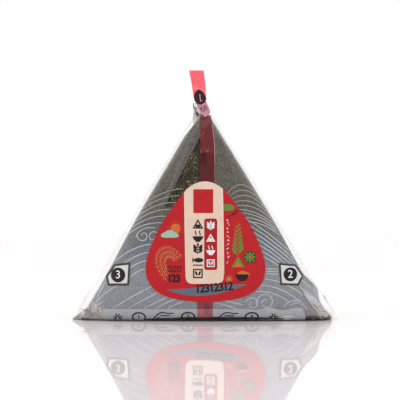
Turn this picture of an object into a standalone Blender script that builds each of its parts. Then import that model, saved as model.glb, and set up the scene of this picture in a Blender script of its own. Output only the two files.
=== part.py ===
"""A film-wrapped rice ball standing on its base: a sealed triangular pack, its sticker and its tear tape.

Metres, +Z up.  The printed front looks along -Y, the origin lies at the middle of the base.
"""

import math

import bmesh
import bpy
from mathutils import Matrix, Vector

MM = 0.001

# Pack: a triangular pillow, wider than it is high, that leans back a little on both faces.
PACK_HEIGHT = 84.2 * MM
BASE_HALF_WIDTH = 54.2 * MM
WIDTH_SLOPE = 0.599  # half-width lost per unit of height, which makes the slanting edges
BASE_HALF_DEPTH = 16.9 * MM
DEPTH_SLOPE = 0.095  # half-depth lost per unit of height, on each face
BASE_CENTRE_X = 0.3 * MM
SIDE_LEAN = -0.012  # the whole pack leans to -X by this much per unit of height
SECTION_POWER = 4.0  # 2 is an ellipse, higher is squarer
APEX_POWER = 2.6
FOOT_HEIGHT = 9.0 * MM  # the rounding under the front and back faces
FOOT_INSET = 8.6 * MM
HEEL_HEIGHT = 4.0 * MM  # the rounding under the two side corners
HEEL_INSET = 3.4 * MM
CROWN_HEIGHT = 10.0 * MM  # the faces close over the top within this height
CREST_HALF_DEPTH = 0.9 * MM
TIP_HEIGHT = 1.4 * MM
TIP_HALF_WIDTH = 3.2 * MM
RING_SIDES = 72
RING_COUNT = 34

# Crumpled film at the two lower corners and over the apex.
CORNER_TIPS = {
    "left": {"side": -1, "reach": 54.4 * MM, "root": 44.0 * MM, "y": -2.0 * MM, "height": 4.6 * MM},
    "right": {"side": 1, "reach": 54.4 * MM, "root": 44.0 * MM, "y": -3.0 * MM, "height": 3.8 * MM},
}
TIP_SIDES = 14
TIP_ROOT_RADIUS = 6.0 * MM
TIP_END_RADIUS = 0.7 * MM
TIP_PLEAT = 0.72
FLOOR_GAP = 0.3 * MM
CREST_LEFT = -5.0 * MM
CREST_RIGHT = 3.4 * MM
CREST_BOTTOM = 79.5 * MM
CREST_TOP = 88.2 * MM
CREST_NOTCH = 1.3 * MM

# Thin pieces on the pack.
GAP = 0.3 * MM
SHEET = 0.25 * MM
TAPE_WIDTH = 6.0 * MM
TAPE_FOOT = 1.6 * MM
TAPE_TOP = 82.7 * MM
LABEL_CENTRE = Vector((0.2 * MM, 0.0, 28.6 * MM))
LABEL_MEAN_RADIUS = 22.9 * MM
LABEL_CORNER_SWELL = 2.7 * MM
LABEL_CORNER_ROUND = 0.4 * MM
LABEL_APEX_RISE = 1.7 * MM
TAB_PATH = (
    (0.2, -5.2, 83.5),
    (-0.1, -4.0, 85.4),
    (-1.3, -3.2, 88.4),
    (-2.1, -2.9, 91.2),
    (-2.6, -2.8, 96.3),
    (-3.6, -3.3, 101.8),
)
TAB_END_WIDTHS = (5.0 * MM, 5.7 * MM)


def clear_scene():
    for item in list(bpy.data.objects):
        bpy.data.objects.remove(item, do_unlink=True)


def finish(name, colour, roughness, metallic=0.0):
    material = bpy.data.materials.new(name)
    material.use_nodes = True
    shader = material.node_tree.nodes["Principled BSDF"]
    shader.inputs["Base Color"].default_value = (*colour, 1.0)
    shader.inputs["Roughness"].default_value = roughness
    shader.inputs["Metallic"].default_value = metallic
    material.diffuse_color = (*colour, 1.0)
    return material


def add_object(name, bm, material):
    bmesh.ops.recalc_face_normals(bm, faces=bm.faces)
    mesh = bpy.data.meshes.new(name)
    bm.to_mesh(mesh)
    bm.free()
    mesh.materials.append(material)
    mesh.shade_smooth()
    mesh.set_sharp_from_angle(angle=math.radians(35))
    made = bpy.data.objects.new(name, mesh)
    bpy.context.scene.collection.objects.link(made)
    return made


def quarter_round(distance, height):
    """The share of an inset that is left at this distance from the end of a rounding: 1 at 0, 0 at height."""
    if distance >= height:
        return 0.0
    return 1.0 - math.sqrt(1.0 - ((height - max(distance, 0.0)) / height) ** 2)


def centre_x(z):
    return BASE_CENTRE_X + SIDE_LEAN * z


def half_width(z):
    straight = BASE_HALF_WIDTH - WIDTH_SLOPE * z
    heel = HEEL_INSET * quarter_round(z, HEEL_HEIGHT)
    tip = TIP_HALF_WIDTH * quarter_round(PACK_HEIGHT - z, TIP_HEIGHT)
    return straight - heel - tip


def half_depth(z):
    straight = BASE_HALF_DEPTH - DEPTH_SLOPE * z
    foot = FOOT_INSET * quarter_round(z, FOOT_HEIGHT)
    crown = quarter_round(PACK_HEIGHT - z, CROWN_HEIGHT)
    return CREST_HALF_DEPTH + (straight - CREST_HALF_DEPTH) * (1.0 - crown) - foot


def section_power(z):
    share = min(max((z - 0.6 * PACK_HEIGHT) / (0.4 * PACK_HEIGHT), 0.0), 1.0)
    return SECTION_POWER + (APEX_POWER - SECTION_POWER) * share


def front_y(x, z):
    """The pack's front surface at this place, clear of its silhouette."""
    power = section_power(z)
    across = min(abs(x - centre_x(z)) / half_width(z), 0.97)
    return -half_depth(z) * (1.0 - across**power) ** (1.0 / power)


def section_point(angle, z):
    """A point of the pack's outline at height z, a superellipse."""
    power = 2.0 / section_power(z)
    across = math.copysign(abs(math.cos(angle)) ** power, math.cos(angle))
    along = math.copysign(abs(math.sin(angle)) ** power, math.sin(angle))
    return Vector((centre_x(z) + half_width(z) * across, half_depth(z) * along, z))


def ring_heights():
    """Heights of the rings, closer together where the base and the top round off."""
    return [
        PACK_HEIGHT * 0.5 * (1.0 - math.cos(math.pi * step / RING_COUNT))
        for step in range(RING_COUNT + 1)
    ]


def pack_body():
    """The pack as a loft: each level is the cap below it, extruded and set to its own section."""
    bm = bmesh.new()
    ring = bmesh.ops.create_circle(bm, cap_ends=True, segments=RING_SIDES, radius=1.0)["verts"]
    angles = {vert: math.atan2(vert.co.y, vert.co.x) for vert in ring}
    base, *levels = ring_heights()
    for vert, angle in angles.items():
        vert.co = section_point(angle, base)
    cap = bm.faces[:][0]
    for z in levels:
        order = [angles[vert] for vert in cap.verts]
        made = bmesh.ops.extrude_discrete_faces(bm, faces=[cap])["faces"]
        cap = made[0]
        angles = {vert: angle for vert, angle in zip(cap.verts, order)}
        for vert, angle in angles.items():
            vert.co = section_point(angle, z)
    open_ring = [edge for edge in bm.edges if edge.is_boundary]
    bmesh.ops.holes_fill(bm, edges=open_ring, sides=RING_SIDES)
    return bm


def corner_tip(side, reach, root, y, height):
    """The gathered film at a lower corner: a pleated cone that points outwards and lies just off the floor."""
    bm = bmesh.new()
    length = reach - root
    bmesh.ops.create_cone(
        bm,
        cap_ends=True,
        segments=TIP_SIDES,
        radius1=TIP_ROOT_RADIUS,
        radius2=TIP_END_RADIUS,
        depth=length,
    )
    for index, vert in enumerate(sorted(bm.verts, key=lambda v: math.atan2(v.co.y, v.co.x))):
        pleat = TIP_PLEAT if index // 2 % 2 else 1.0
        vert.co.x *= pleat
        vert.co.y *= pleat
    turn = Matrix.Rotation(side * math.radians(90), 4, "Y")
    place = Matrix.Translation((side * (root + length / 2), y, height))
    bmesh.ops.transform(bm, matrix=place @ turn, verts=bm.verts)
    for vert in bm.verts:
        share = max(0.0, (abs(vert.co.x) - root) / length)
        vert.co.z = max(FLOOR_GAP, vert.co.z - share * (height - 1.3 * TIP_END_RADIUS))
    return bm


def crest():
    """The film's two ends, pressed together over the apex, with an uneven upper edge."""
    bm = bmesh.new()
    middle = (CREST_LEFT + CREST_RIGHT) / 2
    bmesh.ops.create_grid(bm, x_segments=6, y_segments=2, size=0.5)
    width = CREST_RIGHT - CREST_LEFT
    height = CREST_TOP - CREST_BOTTOM
    for vert in bm.verts:
        across = vert.co.x + 0.5
        up = vert.co.y + 0.5
        notch = CREST_NOTCH * (1.0 + math.cos(6.0 * math.pi * across)) * 0.5
        narrowing = 1.0 - 0.25 * up
        vert.co.x = middle + (across - 0.5) * width * narrowing
        vert.co.z = CREST_BOTTOM + up * (height - notch * up - 2.2 * MM * across)
        vert.co.y = 0.35 * MM * math.sin(5.0 * across)
    made = bmesh.ops.extrude_face_region(bm, geom=bm.faces[:])["geom"]
    moved = [item for item in made if isinstance(item, bmesh.types.BMVert)]
    bmesh.ops.translate(bm, verts=moved, vec=(0.0, 2 * CREST_HALF_DEPTH, 0.0))
    bmesh.ops.translate(bm, verts=bm.verts, vec=(0.0, -CREST_HALF_DEPTH, 0.0))
    return bm


def join_by_union(target, helper):
    helper.hide_render = True
    helper.display_type = "WIRE"
    union = target.modifiers.new(helper.name, "BOOLEAN")
    union.operation = "UNION"
    union.solver = "EXACT"
    union.object = helper


def thicken(bm, thickness):
    """Turns an open sheet into a closed one, its new side towards -Y."""
    made = bmesh.ops.extrude_face_region(bm, geom=bm.faces[:])["geom"]
    moved = [item for item in made if isinstance(item, bmesh.types.BMVert)]
    bmesh.ops.translate(bm, verts=moved, vec=(0.0, -thickness, 0.0))


def label_radius(angle):
    """The label's outline as a distance from its middle: a rounded triangle with bowed sides, point up."""
    turned = angle - math.pi / 2
    swell = LABEL_CORNER_SWELL * math.cos(3.0 * turned) + LABEL_CORNER_ROUND * math.cos(6.0 * turned)
    apex = LABEL_APEX_RISE * max(0.0, math.cos(turned)) ** 12
    return LABEL_MEAN_RADIUS + swell + apex


def label_sheet():
    """The sticker: a polar net spun from one radius, spread to the label's outline and laid on the front."""
    bm = bmesh.new()
    rings = 7
    spoke = [bm.verts.new((step / rings, 0.0, 0.0)) for step in range(rings + 1)]
    edges = [bm.edges.new(pair) for pair in zip(spoke, spoke[1:])]
    bmesh.ops.spin(
        bm,
        geom=spoke + edges,
        cent=(0.0, 0.0, 0.0),
        axis=(0.0, 0.0, 1.0),
        angle=2.0 * math.pi,
        steps=60,
        use_merge=True,
    )
    bmesh.ops.remove_doubles(bm, verts=bm.verts, dist=1e-5)
    for vert in bm.verts:
        angle = math.atan2(vert.co.y, vert.co.x)
        reach = label_radius(angle) * math.hypot(vert.co.x, vert.co.y)
        x = LABEL_CENTRE.x + reach * math.cos(angle)
        z = LABEL_CENTRE.z + reach * math.sin(angle)
        vert.co = Vector((x, front_y(x, z) - 2 * GAP - SHEET, z))
    thicken(bm, SHEET)
    return bm


def tape_run(facing):
    """The tear tape on one face; facing is 1 for the front and -1 for the back."""
    bm = bmesh.new()
    bmesh.ops.create_grid(bm, x_segments=4, y_segments=40, size=0.5)
    for vert in bm.verts:
        z = TAPE_FOOT + (vert.co.y + 0.5) * (TAPE_TOP - TAPE_FOOT)
        narrowing = 1.0 - 0.18 * max(0.0, (z - 60.0 * MM) / (TAPE_TOP - 60.0 * MM))
        x = centre_x(z) + vert.co.x * TAPE_WIDTH * narrowing
        vert.co = Vector((x, front_y(x, z) - GAP, z))
    thicken(bm, SHEET)
    if facing < 0:
        bmesh.ops.mirror(bm, geom=bm.verts[:] + bm.edges[:] + bm.faces[:], axis="Y", merge_dist=-1.0)
        front = [vert for vert in bm.verts if vert.co.y < 0.0]
        bmesh.ops.delete(bm, geom=front, context="VERTS")
    return bm


def path_point(share):
    """A point along the pull tab, between its path's points."""
    place = share * (len(TAB_PATH) - 1)
    index = min(int(place), len(TAB_PATH) - 2)
    start = Vector(TAB_PATH[index])
    end = Vector(TAB_PATH[index + 1])
    return start.lerp(end, place - index) * MM


def pull_tab():
    """The tape's free end, which stands up from the apex and leans to one side."""
    bm = bmesh.new()
    bmesh.ops.create_grid(bm, x_segments=4, y_segments=20, size=0.5)
    foot, end = TAB_END_WIDTHS
    for vert in bm.verts:
        share = vert.co.y + 0.5
        middle = path_point(share)
        ahead = path_point(min(1.0, share + 0.02)) - path_point(max(0.0, share - 0.02))
        across = Vector((ahead.z, 0.0, -ahead.x)).normalized()
        width = foot + (end - foot) * share
        bow = 0.5 * MM * (4.0 * vert.co.x * vert.co.x)
        vert.co = middle + across * vert.co.x * width + Vector((0.0, bow, 0.0))
    thicken(bm, SHEET)
    return bm


def main():
    clear_scene()
    film = finish("printed_film", (0.20, 0.22, 0.24), 0.25)
    sticker = finish("red_sticker", (0.48, 0.02, 0.03), 0.35)
    tape = finish("red_tape", (0.16, 0.02, 0.03), 0.25)
    coral = finish("coral_tape", (1.0, 0.09, 0.15), 0.30)

    pack = add_object("film_pack", pack_body(), film)
    for name, sizes in CORNER_TIPS.items():
        join_by_union(pack, add_object(f"corner_tip_{name}", corner_tip(**sizes), film))
    join_by_union(pack, add_object("crest", crest(), film))

    add_object("label", label_sheet(), sticker)
    add_object("tear_tape_front", tape_run(1), tape)
    add_object("tear_tape_back", tape_run(-1), tape)
    add_object("pull_tab", pull_tab(), coral)


main()
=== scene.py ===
"""A film-wrapped rice ball: nori under clear printed film, a red sticker, and a tear tape with its tab.

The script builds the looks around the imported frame.  The frame keeps the sizes and places: every piece here
follows the sealed pack's own form, in metres, with the printed front towards -Y and +Z up.
"""

import logging
import math
import random
from dataclasses import dataclass
from enum import Enum
from typing import Callable, Iterable, Sequence

import bmesh
import bpy
from mathutils import Matrix, Vector, noise
from mathutils.bvhtree import BVHTree


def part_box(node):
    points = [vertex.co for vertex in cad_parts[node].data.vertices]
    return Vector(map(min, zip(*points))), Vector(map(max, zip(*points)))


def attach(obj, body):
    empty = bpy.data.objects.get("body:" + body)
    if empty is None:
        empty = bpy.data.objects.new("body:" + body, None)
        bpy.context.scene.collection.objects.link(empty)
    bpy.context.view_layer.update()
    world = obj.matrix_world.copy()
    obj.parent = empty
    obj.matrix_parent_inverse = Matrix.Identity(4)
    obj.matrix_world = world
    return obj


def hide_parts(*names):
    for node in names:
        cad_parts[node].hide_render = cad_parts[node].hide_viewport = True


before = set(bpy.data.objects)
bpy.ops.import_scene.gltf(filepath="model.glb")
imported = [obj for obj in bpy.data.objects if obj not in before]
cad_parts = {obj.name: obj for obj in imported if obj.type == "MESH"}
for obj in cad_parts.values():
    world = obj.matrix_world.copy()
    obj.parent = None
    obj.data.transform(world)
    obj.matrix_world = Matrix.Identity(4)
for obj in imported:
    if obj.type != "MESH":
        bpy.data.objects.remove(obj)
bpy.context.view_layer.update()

MM = 0.001
LOG = logging.getLogger("rice_ball")
Colour = tuple[float, float, float]
Point = tuple[float, float]
Socket = bpy.types.NodeSocket
Material = bpy.types.Material
Piece = bpy.types.Object


class Facing(Enum):
    """The side of the pack that a print lies on."""

    FRONT = -1
    BACK = 1


class Side(Enum):
    """The pack's left or right, seen from its printed front."""

    LEFT = -1
    RIGHT = 1


def smooth(value: float, low: float, high: float) -> float:
    """Rises smoothly from 0 at low to 1 at high.

    Args:
        value: Where to read the curve.
        low: The value that gives 0.
        high: The value that gives 1; it may lie below low.

    Returns:
        A number from 0 to 1.
    """
    share = min(max((value - low) / (high - low), 0.0), 1.0)
    return share * share * (3.0 - 2.0 * share)


def crowded(place: float) -> float:
    """A place from -1 to 1 as a share from 0 to 1, with equal steps drawn together towards both ends."""
    return 0.5 * (1.0 - math.cos(math.pi * 0.5 * (place + 1.0)))


def mottled(x: float, y: float, z: float, scale: float) -> float:
    """Soft even noise from about -1 to 1, with features of this size in the unit of the coordinates."""
    return noise.noise(Vector((x / scale, y / scale, z / scale)))


def linear_share(value: int) -> float:
    """One part of a colour, from 0 to 255 on a screen, as the linear share that a shader takes."""
    share = value / 255.0
    return share / 12.92 if share <= 0.04045 else ((share + 0.055) / 1.055) ** 2.4


def linear(red: int, green: int, blue: int) -> Colour:
    """A colour given on the 0 to 255 scale of a screen, as the linear values that a shader takes."""
    return linear_share(red), linear_share(green), linear_share(blue)


# ---------------- form


@dataclass(frozen=True)
class PackForm:
    """The sealed pack's shape, as in the frame: a pillow with a straight-sided triangular front."""

    height: float = 84.2 * MM
    base_half_width: float = 54.2 * MM
    width_slope: float = 0.599
    base_half_depth: float = 16.9 * MM
    depth_slope: float = 0.095
    base_centre_x: float = 0.3 * MM
    side_lean: float = -0.012
    section_power: float = 4.0
    apex_power: float = 2.6
    foot_height: float = 9.0 * MM
    foot_inset: float = 8.6 * MM
    heel_height: float = 4.0 * MM
    heel_inset: float = 3.4 * MM
    crown_height: float = 10.0 * MM
    crest_half_depth: float = 0.9 * MM
    tip_height: float = 1.4 * MM
    tip_half_width: float = 3.2 * MM
    trim_x: float = 0.0
    trim_y: float = 0.0

    @staticmethod
    def rounding(distance: float, reach: float) -> float:
        """The share of an inset that is left near the end of a quarter round: 1 at its end, then 0.

        Args:
            distance: How far the end is.
            reach: The round's radius.

        Returns:
            The share.
        """
        if distance >= reach:
            return 0.0
        return 1.0 - math.sqrt(1.0 - ((reach - max(distance, 0.0)) / reach) ** 2)

    def centre_x(self, z: float) -> float:
        """The middle of the section at height z."""
        return self.base_centre_x + self.side_lean * z

    def half_width(self, z: float) -> float:
        """Half the section's width at height z.

        Args:
            z: The height.

        Returns:
            The half width, in metres.
        """
        straight = self.base_half_width - self.width_slope * z
        heel = self.heel_inset * self.rounding(z, self.heel_height)
        tip = self.tip_half_width * self.rounding(self.height - z, self.tip_height)
        return max(straight - heel - tip - self.trim_x, 0.3 * MM)

    def half_depth(self, z: float) -> float:
        """Half the section's depth at height z.

        Args:
            z: The height.

        Returns:
            The half depth, in metres.
        """
        straight = self.base_half_depth - self.depth_slope * z
        foot = self.foot_inset * self.rounding(z, self.foot_height)
        crown = self.rounding(self.height - z, self.crown_height)
        depth = self.crest_half_depth + (straight - self.crest_half_depth) * (1.0 - crown) - foot
        return max(depth - self.trim_y, 0.3 * MM)

    def power(self, z: float) -> float:
        """How square the section is at height z: 2 is an ellipse."""
        share = min(max((z - 0.6 * self.height) / (0.4 * self.height), 0.0), 1.0)
        return self.section_power + (self.apex_power - self.section_power) * share

    def face_y(self, x: float, z: float, facing: Facing) -> float:
        """The y of the front or back face at this place, before any creases.

        Args:
            x: The place across.
            z: The height.
            facing: The face of the pack.

        Returns:
            The y, in metres.
        """
        power = self.power(z)
        across = min(abs(x - self.centre_x(z)) / self.half_width(z), 0.985)
        return facing.value * self.half_depth(z) * (1.0 - across**power) ** (1.0 / power)

    def section_point(self, across: float, along: float, z: float) -> Vector:
        """Maps a point of the square from -1 to 1 onto the pack's section at height z.

        Args:
            across: The place along X, on the square's edge or inside it.
            along: The place along Y.
            z: The height of the section.

        Returns:
            The point in space.
        """
        power = self.power(z)
        largest = max(abs(across), abs(along))
        if largest > 1e-9:
            total = abs(across) ** power + abs(along) ** power
            scale = largest / total ** (1.0 / power)
            across, along = across * scale, along * scale
        return Vector((self.centre_x(z) + self.half_width(z) * across, self.half_depth(z) * along, z))


@dataclass(frozen=True)
class Crease:
    """A straight fold in the film, between two points of the front, in millimetres."""

    start: Point
    end: Point
    height: float
    width: float

    def lift(self, x: float, z: float) -> float:
        """How far the fold raises the film at this place, in millimetres.

        Args:
            x: The place across.
            z: The height.

        Returns:
            The rise.
        """
        ax, az = self.start
        bx, bz = self.end
        span_x, span_z = bx - ax, bz - az
        length = math.hypot(span_x, span_z)
        along = ((x - ax) * span_x + (z - az) * span_z) / (length * length)
        off = ((x - ax) * span_z - (z - az) * span_x) / length
        ends = smooth(along, -0.15, 0.1) * smooth(along, 1.15, 0.9)
        return self.height * math.exp(-((off / self.width) ** 2)) * ends


@dataclass(frozen=True)
class FilmRelief:
    """The unevenness of the film: broad slackness, folds from the apex, and crumples along its edges."""

    form: PackForm
    front_creases: tuple[Crease, ...] = (
        Crease((-3.2, 78.0), (-14.6, 50.5), 0.55, 0.9),
        Crease((4.8, 80.0), (12.5, 55.0), 0.35, 1.1),
        Crease((3.4, 78.0), (4.6, 58.0), 0.25, 0.7),
        Crease((-4.4, 78.5), (-21.0, 51.0), 0.25, 1.0),
        Crease((38.0, 15.5), (48.0, 2.6), 0.55, 0.8),
        Crease((41.5, 13.0), (49.5, 4.0), -0.4, 0.9),
        Crease((30.0, 30.0), (40.0, 16.0), 0.22, 0.9),
        Crease((-47.0, 8.5), (-41.5, 3.0), 0.4, 0.9),
        Crease((-49.0, 6.5), (-44.0, 1.5), -0.4, 0.8),
        Crease((-30.0, 36.5), (-41.0, 17.0), 0.2, 0.8),
    )
    back_creases: tuple[Crease, ...] = (
        Crease((-2.8, 79.0), (-17.0, 48.0), 0.45, 0.9),
        Crease((3.6, 78.0), (16.0, 52.0), 0.4, 1.0),
        Crease((-39.0, 15.0), (-48.0, 3.0), 0.5, 0.9),
        Crease((38.5, 14.5), (48.0, 3.0), 0.5, 0.9),
        Crease((9.0, 60.0), (22.0, 30.0), 0.22, 1.4),
        Crease((-11.0, 52.0), (-26.0, 24.0), 0.2, 1.4),
    )

    def height(self, place: Vector) -> float:
        """How far the film stands off its plain form here, outwards, in metres.

        Args:
            place: A point of the plain form.

        Returns:
            The offset along the surface's normal.
        """
        x, y, z = place / MM
        if z < 0.4:
            return 0.0
        across = min(abs(place.x - self.form.centre_x(place.z)) / self.form.half_width(place.z), 1.0)
        edge = smooth(across, 0.80, 1.0)
        corner = smooth(z, 16.0, 4.0) * smooth(abs(x), 40.0, 48.5)
        apex = smooth(z, 66.0, 82.0)
        lift = 0.26 * mottled(x, y * 0.4, z, 19.0) + 0.07 * mottled(x, y, z, 5.5)
        along_edge = z * 1.167
        lift += edge * 0.16 * mottled(along_edge, y * 0.8, 7.0, 5.0)
        lift += edge * 0.05 * mottled(along_edge, y, 3.0, 1.7)
        lift += corner * (0.65 - 1.5 * abs(mottled(x, y, z, 4.2)) + 0.5 * abs(mottled(x, y, z, 1.9)))
        lift += apex * 0.30 * mottled(x * 1.6, y * 0.5, z * 0.5, 3.0)
        creases = self.front_creases if y < 0.0 else self.back_creases
        face = smooth(across, 1.0, 0.9)
        lift += face * sum(crease.lift(x, z) for crease in creases)
        foot = smooth(z, 0.4, 3.0)
        return max(-0.6, min(lift, 0.9)) * foot * MM


# ---------------- mesh helpers


def add_piece(name: str, bm: bmesh.types.BMesh, material: Material) -> Piece:
    """Makes an object of a bmesh, smooth-shaded, and lets it ride on the pack's body.

    Args:
        name: The piece's name.
        bm: Its mesh, freed here.
        material: Its finish.

    Returns:
        The new object.
    """
    mesh = bpy.data.meshes.new(name)
    bm.to_mesh(mesh)
    bm.free()
    mesh.materials.append(material)
    mesh.shade_smooth()
    mesh.set_sharp_from_angle(angle=math.radians(50.0))
    piece = bpy.data.objects.new(name, mesh)
    bpy.context.scene.collection.objects.link(piece)
    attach(piece, "root")
    LOG.info("%s: %d faces", name, len(mesh.polygons))
    return piece


def edges_along(bm: bmesh.types.BMesh, axis: int) -> list[bmesh.types.BMEdge]:
    """The edges that run more than one unit along an axis: 0 for X, 1 for Y and 2 for Z."""
    return [edge for edge in bm.edges if abs(edge.verts[0].co[axis] - edge.verts[1].co[axis]) > 1.0]


def box_net(columns: int, rows: int, layers: int) -> bmesh.types.BMesh:
    """A cube from -1 to 1 whose faces are cut into a regular net, with no poles.

    Args:
        columns: Faces along X.
        rows: Faces along Z.
        layers: Faces along Y.

    Returns:
        The closed mesh.
    """
    bm = bmesh.new()
    bmesh.ops.create_cube(bm, size=2.0)
    for axis, count in ((0, columns), (2, rows), (1, layers)):
        bmesh.ops.subdivide_edges(bm, edges=edges_along(bm, axis), cuts=count - 1)
    return bm


def close_slab(bm: bmesh.types.BMesh, place: Callable[[Vector], Vector]) -> None:
    """Closes an open sheet: its faces are extruded, and the new side is put where place says.

    Args:
        bm: The open sheet.
        place: Gives the new place of a point of the sheet.
    """
    made = bmesh.ops.extrude_face_region(bm, geom=bm.faces[:])["geom"]
    for item in made:
        if isinstance(item, bmesh.types.BMVert):
            item.co = place(item.co)
    bmesh.ops.recalc_face_normals(bm, faces=bm.faces)


@dataclass
class FilmSurface:
    """The finished film's surface, which every print and sheet is laid on."""

    form: PackForm
    tree: BVHTree

    def settle(self, near: Vector, lift: float) -> Vector:
        """The point of the film nearest to this one, raised off it by lift."""
        spot, normal, _, _ = self.tree.find_nearest(near)
        return spot + normal * lift

    def on_face(self, x: float, z: float, facing: Facing, lift: float) -> Vector:
        """A point of the front or back at this x and z, raised off the film by lift."""
        return self.settle(Vector((x, self.form.face_y(x, z, facing), z)), lift)


class FlatArt:
    """Outlines drawn flat, x across and y up in millimetres, and then laid on the pack."""

    def __init__(self) -> None:
        """Starts an empty drawing."""
        self.bm = bmesh.new()

    def disc(self, x: float, y: float, radius: float, squash: float = 1.0, turn: float = 0.0) -> None:
        """Adds a disc or an ellipse.

        Args:
            x: The middle's place across.
            y: The middle's place up.
            radius: Half its length along its own first axis.
            squash: Its width as a share of its length.
            turn: The first axis's angle from across, in degrees.
        """
        place = Matrix.Translation((x, y, 0.0)) @ Matrix.Rotation(math.radians(turn), 4, "Z")
        shape = place @ Matrix.Diagonal((1.0, squash, 1.0, 1.0))
        segments = 12 if radius < 0.8 else 36
        bmesh.ops.create_circle(self.bm, cap_ends=True, segments=segments, radius=radius, matrix=shape)

    def polygon(self, points: Iterable[Point]) -> bmesh.types.BMFace:
        """Adds one face with this outline."""
        return self.bm.faces.new([self.bm.verts.new((x, y, 0.0)) for x, y in points])

    def box(self, left: float, right: float, low: float, high: float, radius: float) -> None:
        """Adds a rectangle with rounded corners."""
        face = self.polygon(((left, low), (right, low), (right, high), (left, high)))
        bmesh.ops.bevel(
            self.bm, geom=face.verts[:], offset=radius, offset_type="OFFSET", segments=6, profile=0.5,
            affect="VERTICES", material=-1,
        )

    def frame(self, points: Sequence[Point], width: float) -> None:
        """Adds a flat frame of this width along the inside of an outline.

        Args:
            points: The outline.
            width: The frame's width.
        """
        face = self.polygon(points)
        face.normal_update()
        bmesh.ops.inset_region(
            self.bm, faces=[face], thickness=width, use_boundary=True, use_even_offset=True
        )
        bmesh.ops.delete(self.bm, geom=[face], context="FACES_ONLY")

    def ribbon(self, points: Sequence[Point], width: float, taper: float = 0.0) -> None:
        """Adds a line of this width, which narrows by the share taper towards both ends.

        Args:
            points: The line's points.
            width: Its width.
            taper: The share lost at its ends.
        """
        last = None
        count = len(points) - 1
        for index, (x, y) in enumerate(points):
            before = points[max(index - 1, 0)]
            after = points[min(index + 1, count)]
            ahead = Vector((after[0] - before[0], after[1] - before[1], 0.0)).normalized()
            middle = abs(2.0 * index / count - 1.0)
            half = Vector((-ahead.y, ahead.x, 0.0))
            half *= 0.5 * width * (1.0 - taper * middle**2)
            spot = Vector((x, y, 0.0))
            pair = [self.bm.verts.new(spot + half), self.bm.verts.new(spot - half)]
            if last:
                self.bm.faces.new((last[0], last[1], pair[1], pair[0]))
            last = pair

    def numeral(
        self, figure: str, x: float, y: float, size: float, turn: float = 0.0, weight: float = 0.028
    ) -> None:
        """Adds a plain number, centred.

        Args:
            figure: The number.
            x: Its middle across.
            y: Its middle up.
            size: Its height.
            turn: Its angle in degrees.
            weight: How far its strokes are thickened, as a share of its size.
        """
        curve = bpy.data.curves.new("figure", "FONT")
        curve.body = figure
        curve.size = size * 1.4
        curve.align_x = "CENTER"
        curve.align_y = "CENTER"
        curve.resolution_u = 4
        curve.offset = weight * size
        writing = bpy.data.objects.new("figure", curve)
        flat = bpy.data.meshes.new_from_object(writing)
        place = Matrix.Translation((x, y, 0.0)) @ Matrix.Rotation(math.radians(turn), 4, "Z")
        flat.transform(place)
        self.bm.from_mesh(flat)
        bpy.data.objects.remove(writing)
        bpy.data.curves.remove(curve)
        bpy.data.meshes.remove(flat)

    def cut_finely(self, step: float) -> None:
        """Cuts every face along a net of this step, so that the drawing can follow a curved surface.

        Args:
            step: The distance between two cuts.
        """
        bmesh.ops.remove_doubles(self.bm, verts=self.bm.verts, dist=1e-4)
        for axis in (0, 1):
            places = [vert.co[axis] for vert in self.bm.verts]
            normal = Vector((0.0, 0.0, 0.0))
            normal[axis] = 1.0
            for index in range(math.ceil(min(places) / step), math.floor(max(places) / step) + 1):
                geometry = self.bm.verts[:] + self.bm.edges[:] + self.bm.faces[:]
                place = normal * (index * step)
                bmesh.ops.bisect_plane(self.bm, geom=geometry, dist=1e-5, plane_co=place, plane_no=normal)

    def lay(
        self,
        name: str,
        film: FilmSurface,
        material: Material,
        lift: float,
        thickness: float = 0.03,
        step: float = 1.5,
        facing: Facing = Facing.FRONT,
    ) -> Piece:
        """Lays the drawing on the film as a closed sheet.

        Args:
            name: The piece's name.
            film: The surface to lay it on.
            material: Its finish.
            lift: The underside's distance from the film, in millimetres.
            thickness: The sheet's thickness, in millimetres.
            step: The length of its faces, in millimetres.
            facing: The face of the pack; the back's drawing is turned to read from behind.

        Returns:
            The piece.
        """
        self.cut_finely(step)
        turn = -facing.value
        for vert in self.bm.verts:
            vert.co = film.on_face(turn * vert.co.x * MM, vert.co.y * MM, facing, lift * MM)
        close_slab(self.bm, lambda spot: film.settle(spot, (lift + thickness) * MM))
        return add_piece(name, self.bm, material)


def between(first: Point, last: Point, share: float) -> Point:
    """The point at this share of the way from the first to the last."""
    return first[0] + (last[0] - first[0]) * share, first[1] + (last[1] - first[1]) * share


def bezier(points: Sequence[Point], steps: int = 16) -> list[Point]:
    """Points along the smooth curve that three or four control points give.

    Args:
        points: The control points.
        steps: How many stretches to make.

    Returns:
        The points.
    """
    made = []
    for step in range(steps + 1):
        share = step / steps
        level = list(points)
        while len(level) > 1:
            level = [between(near, far, share) for near, far in zip(level, level[1:])]
        made.append(level[0])
    return made


def arc(x: float, y: float, radius: float, start: float, end: float, steps: int = 14) -> list[Point]:
    """Points along a circle's arc, from one angle to another in degrees.

    Args:
        x: The middle across.
        y: The middle up.
        radius: The circle's radius.
        start: The first angle.
        end: The last angle.
        steps: How many stretches to make.

    Returns:
        The points.
    """
    made = []
    for step in range(steps + 1):
        angle = math.radians(start + (end - start) * step / steps)
        made.append((x + radius * math.cos(angle), y + radius * math.sin(angle)))
    return made


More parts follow.
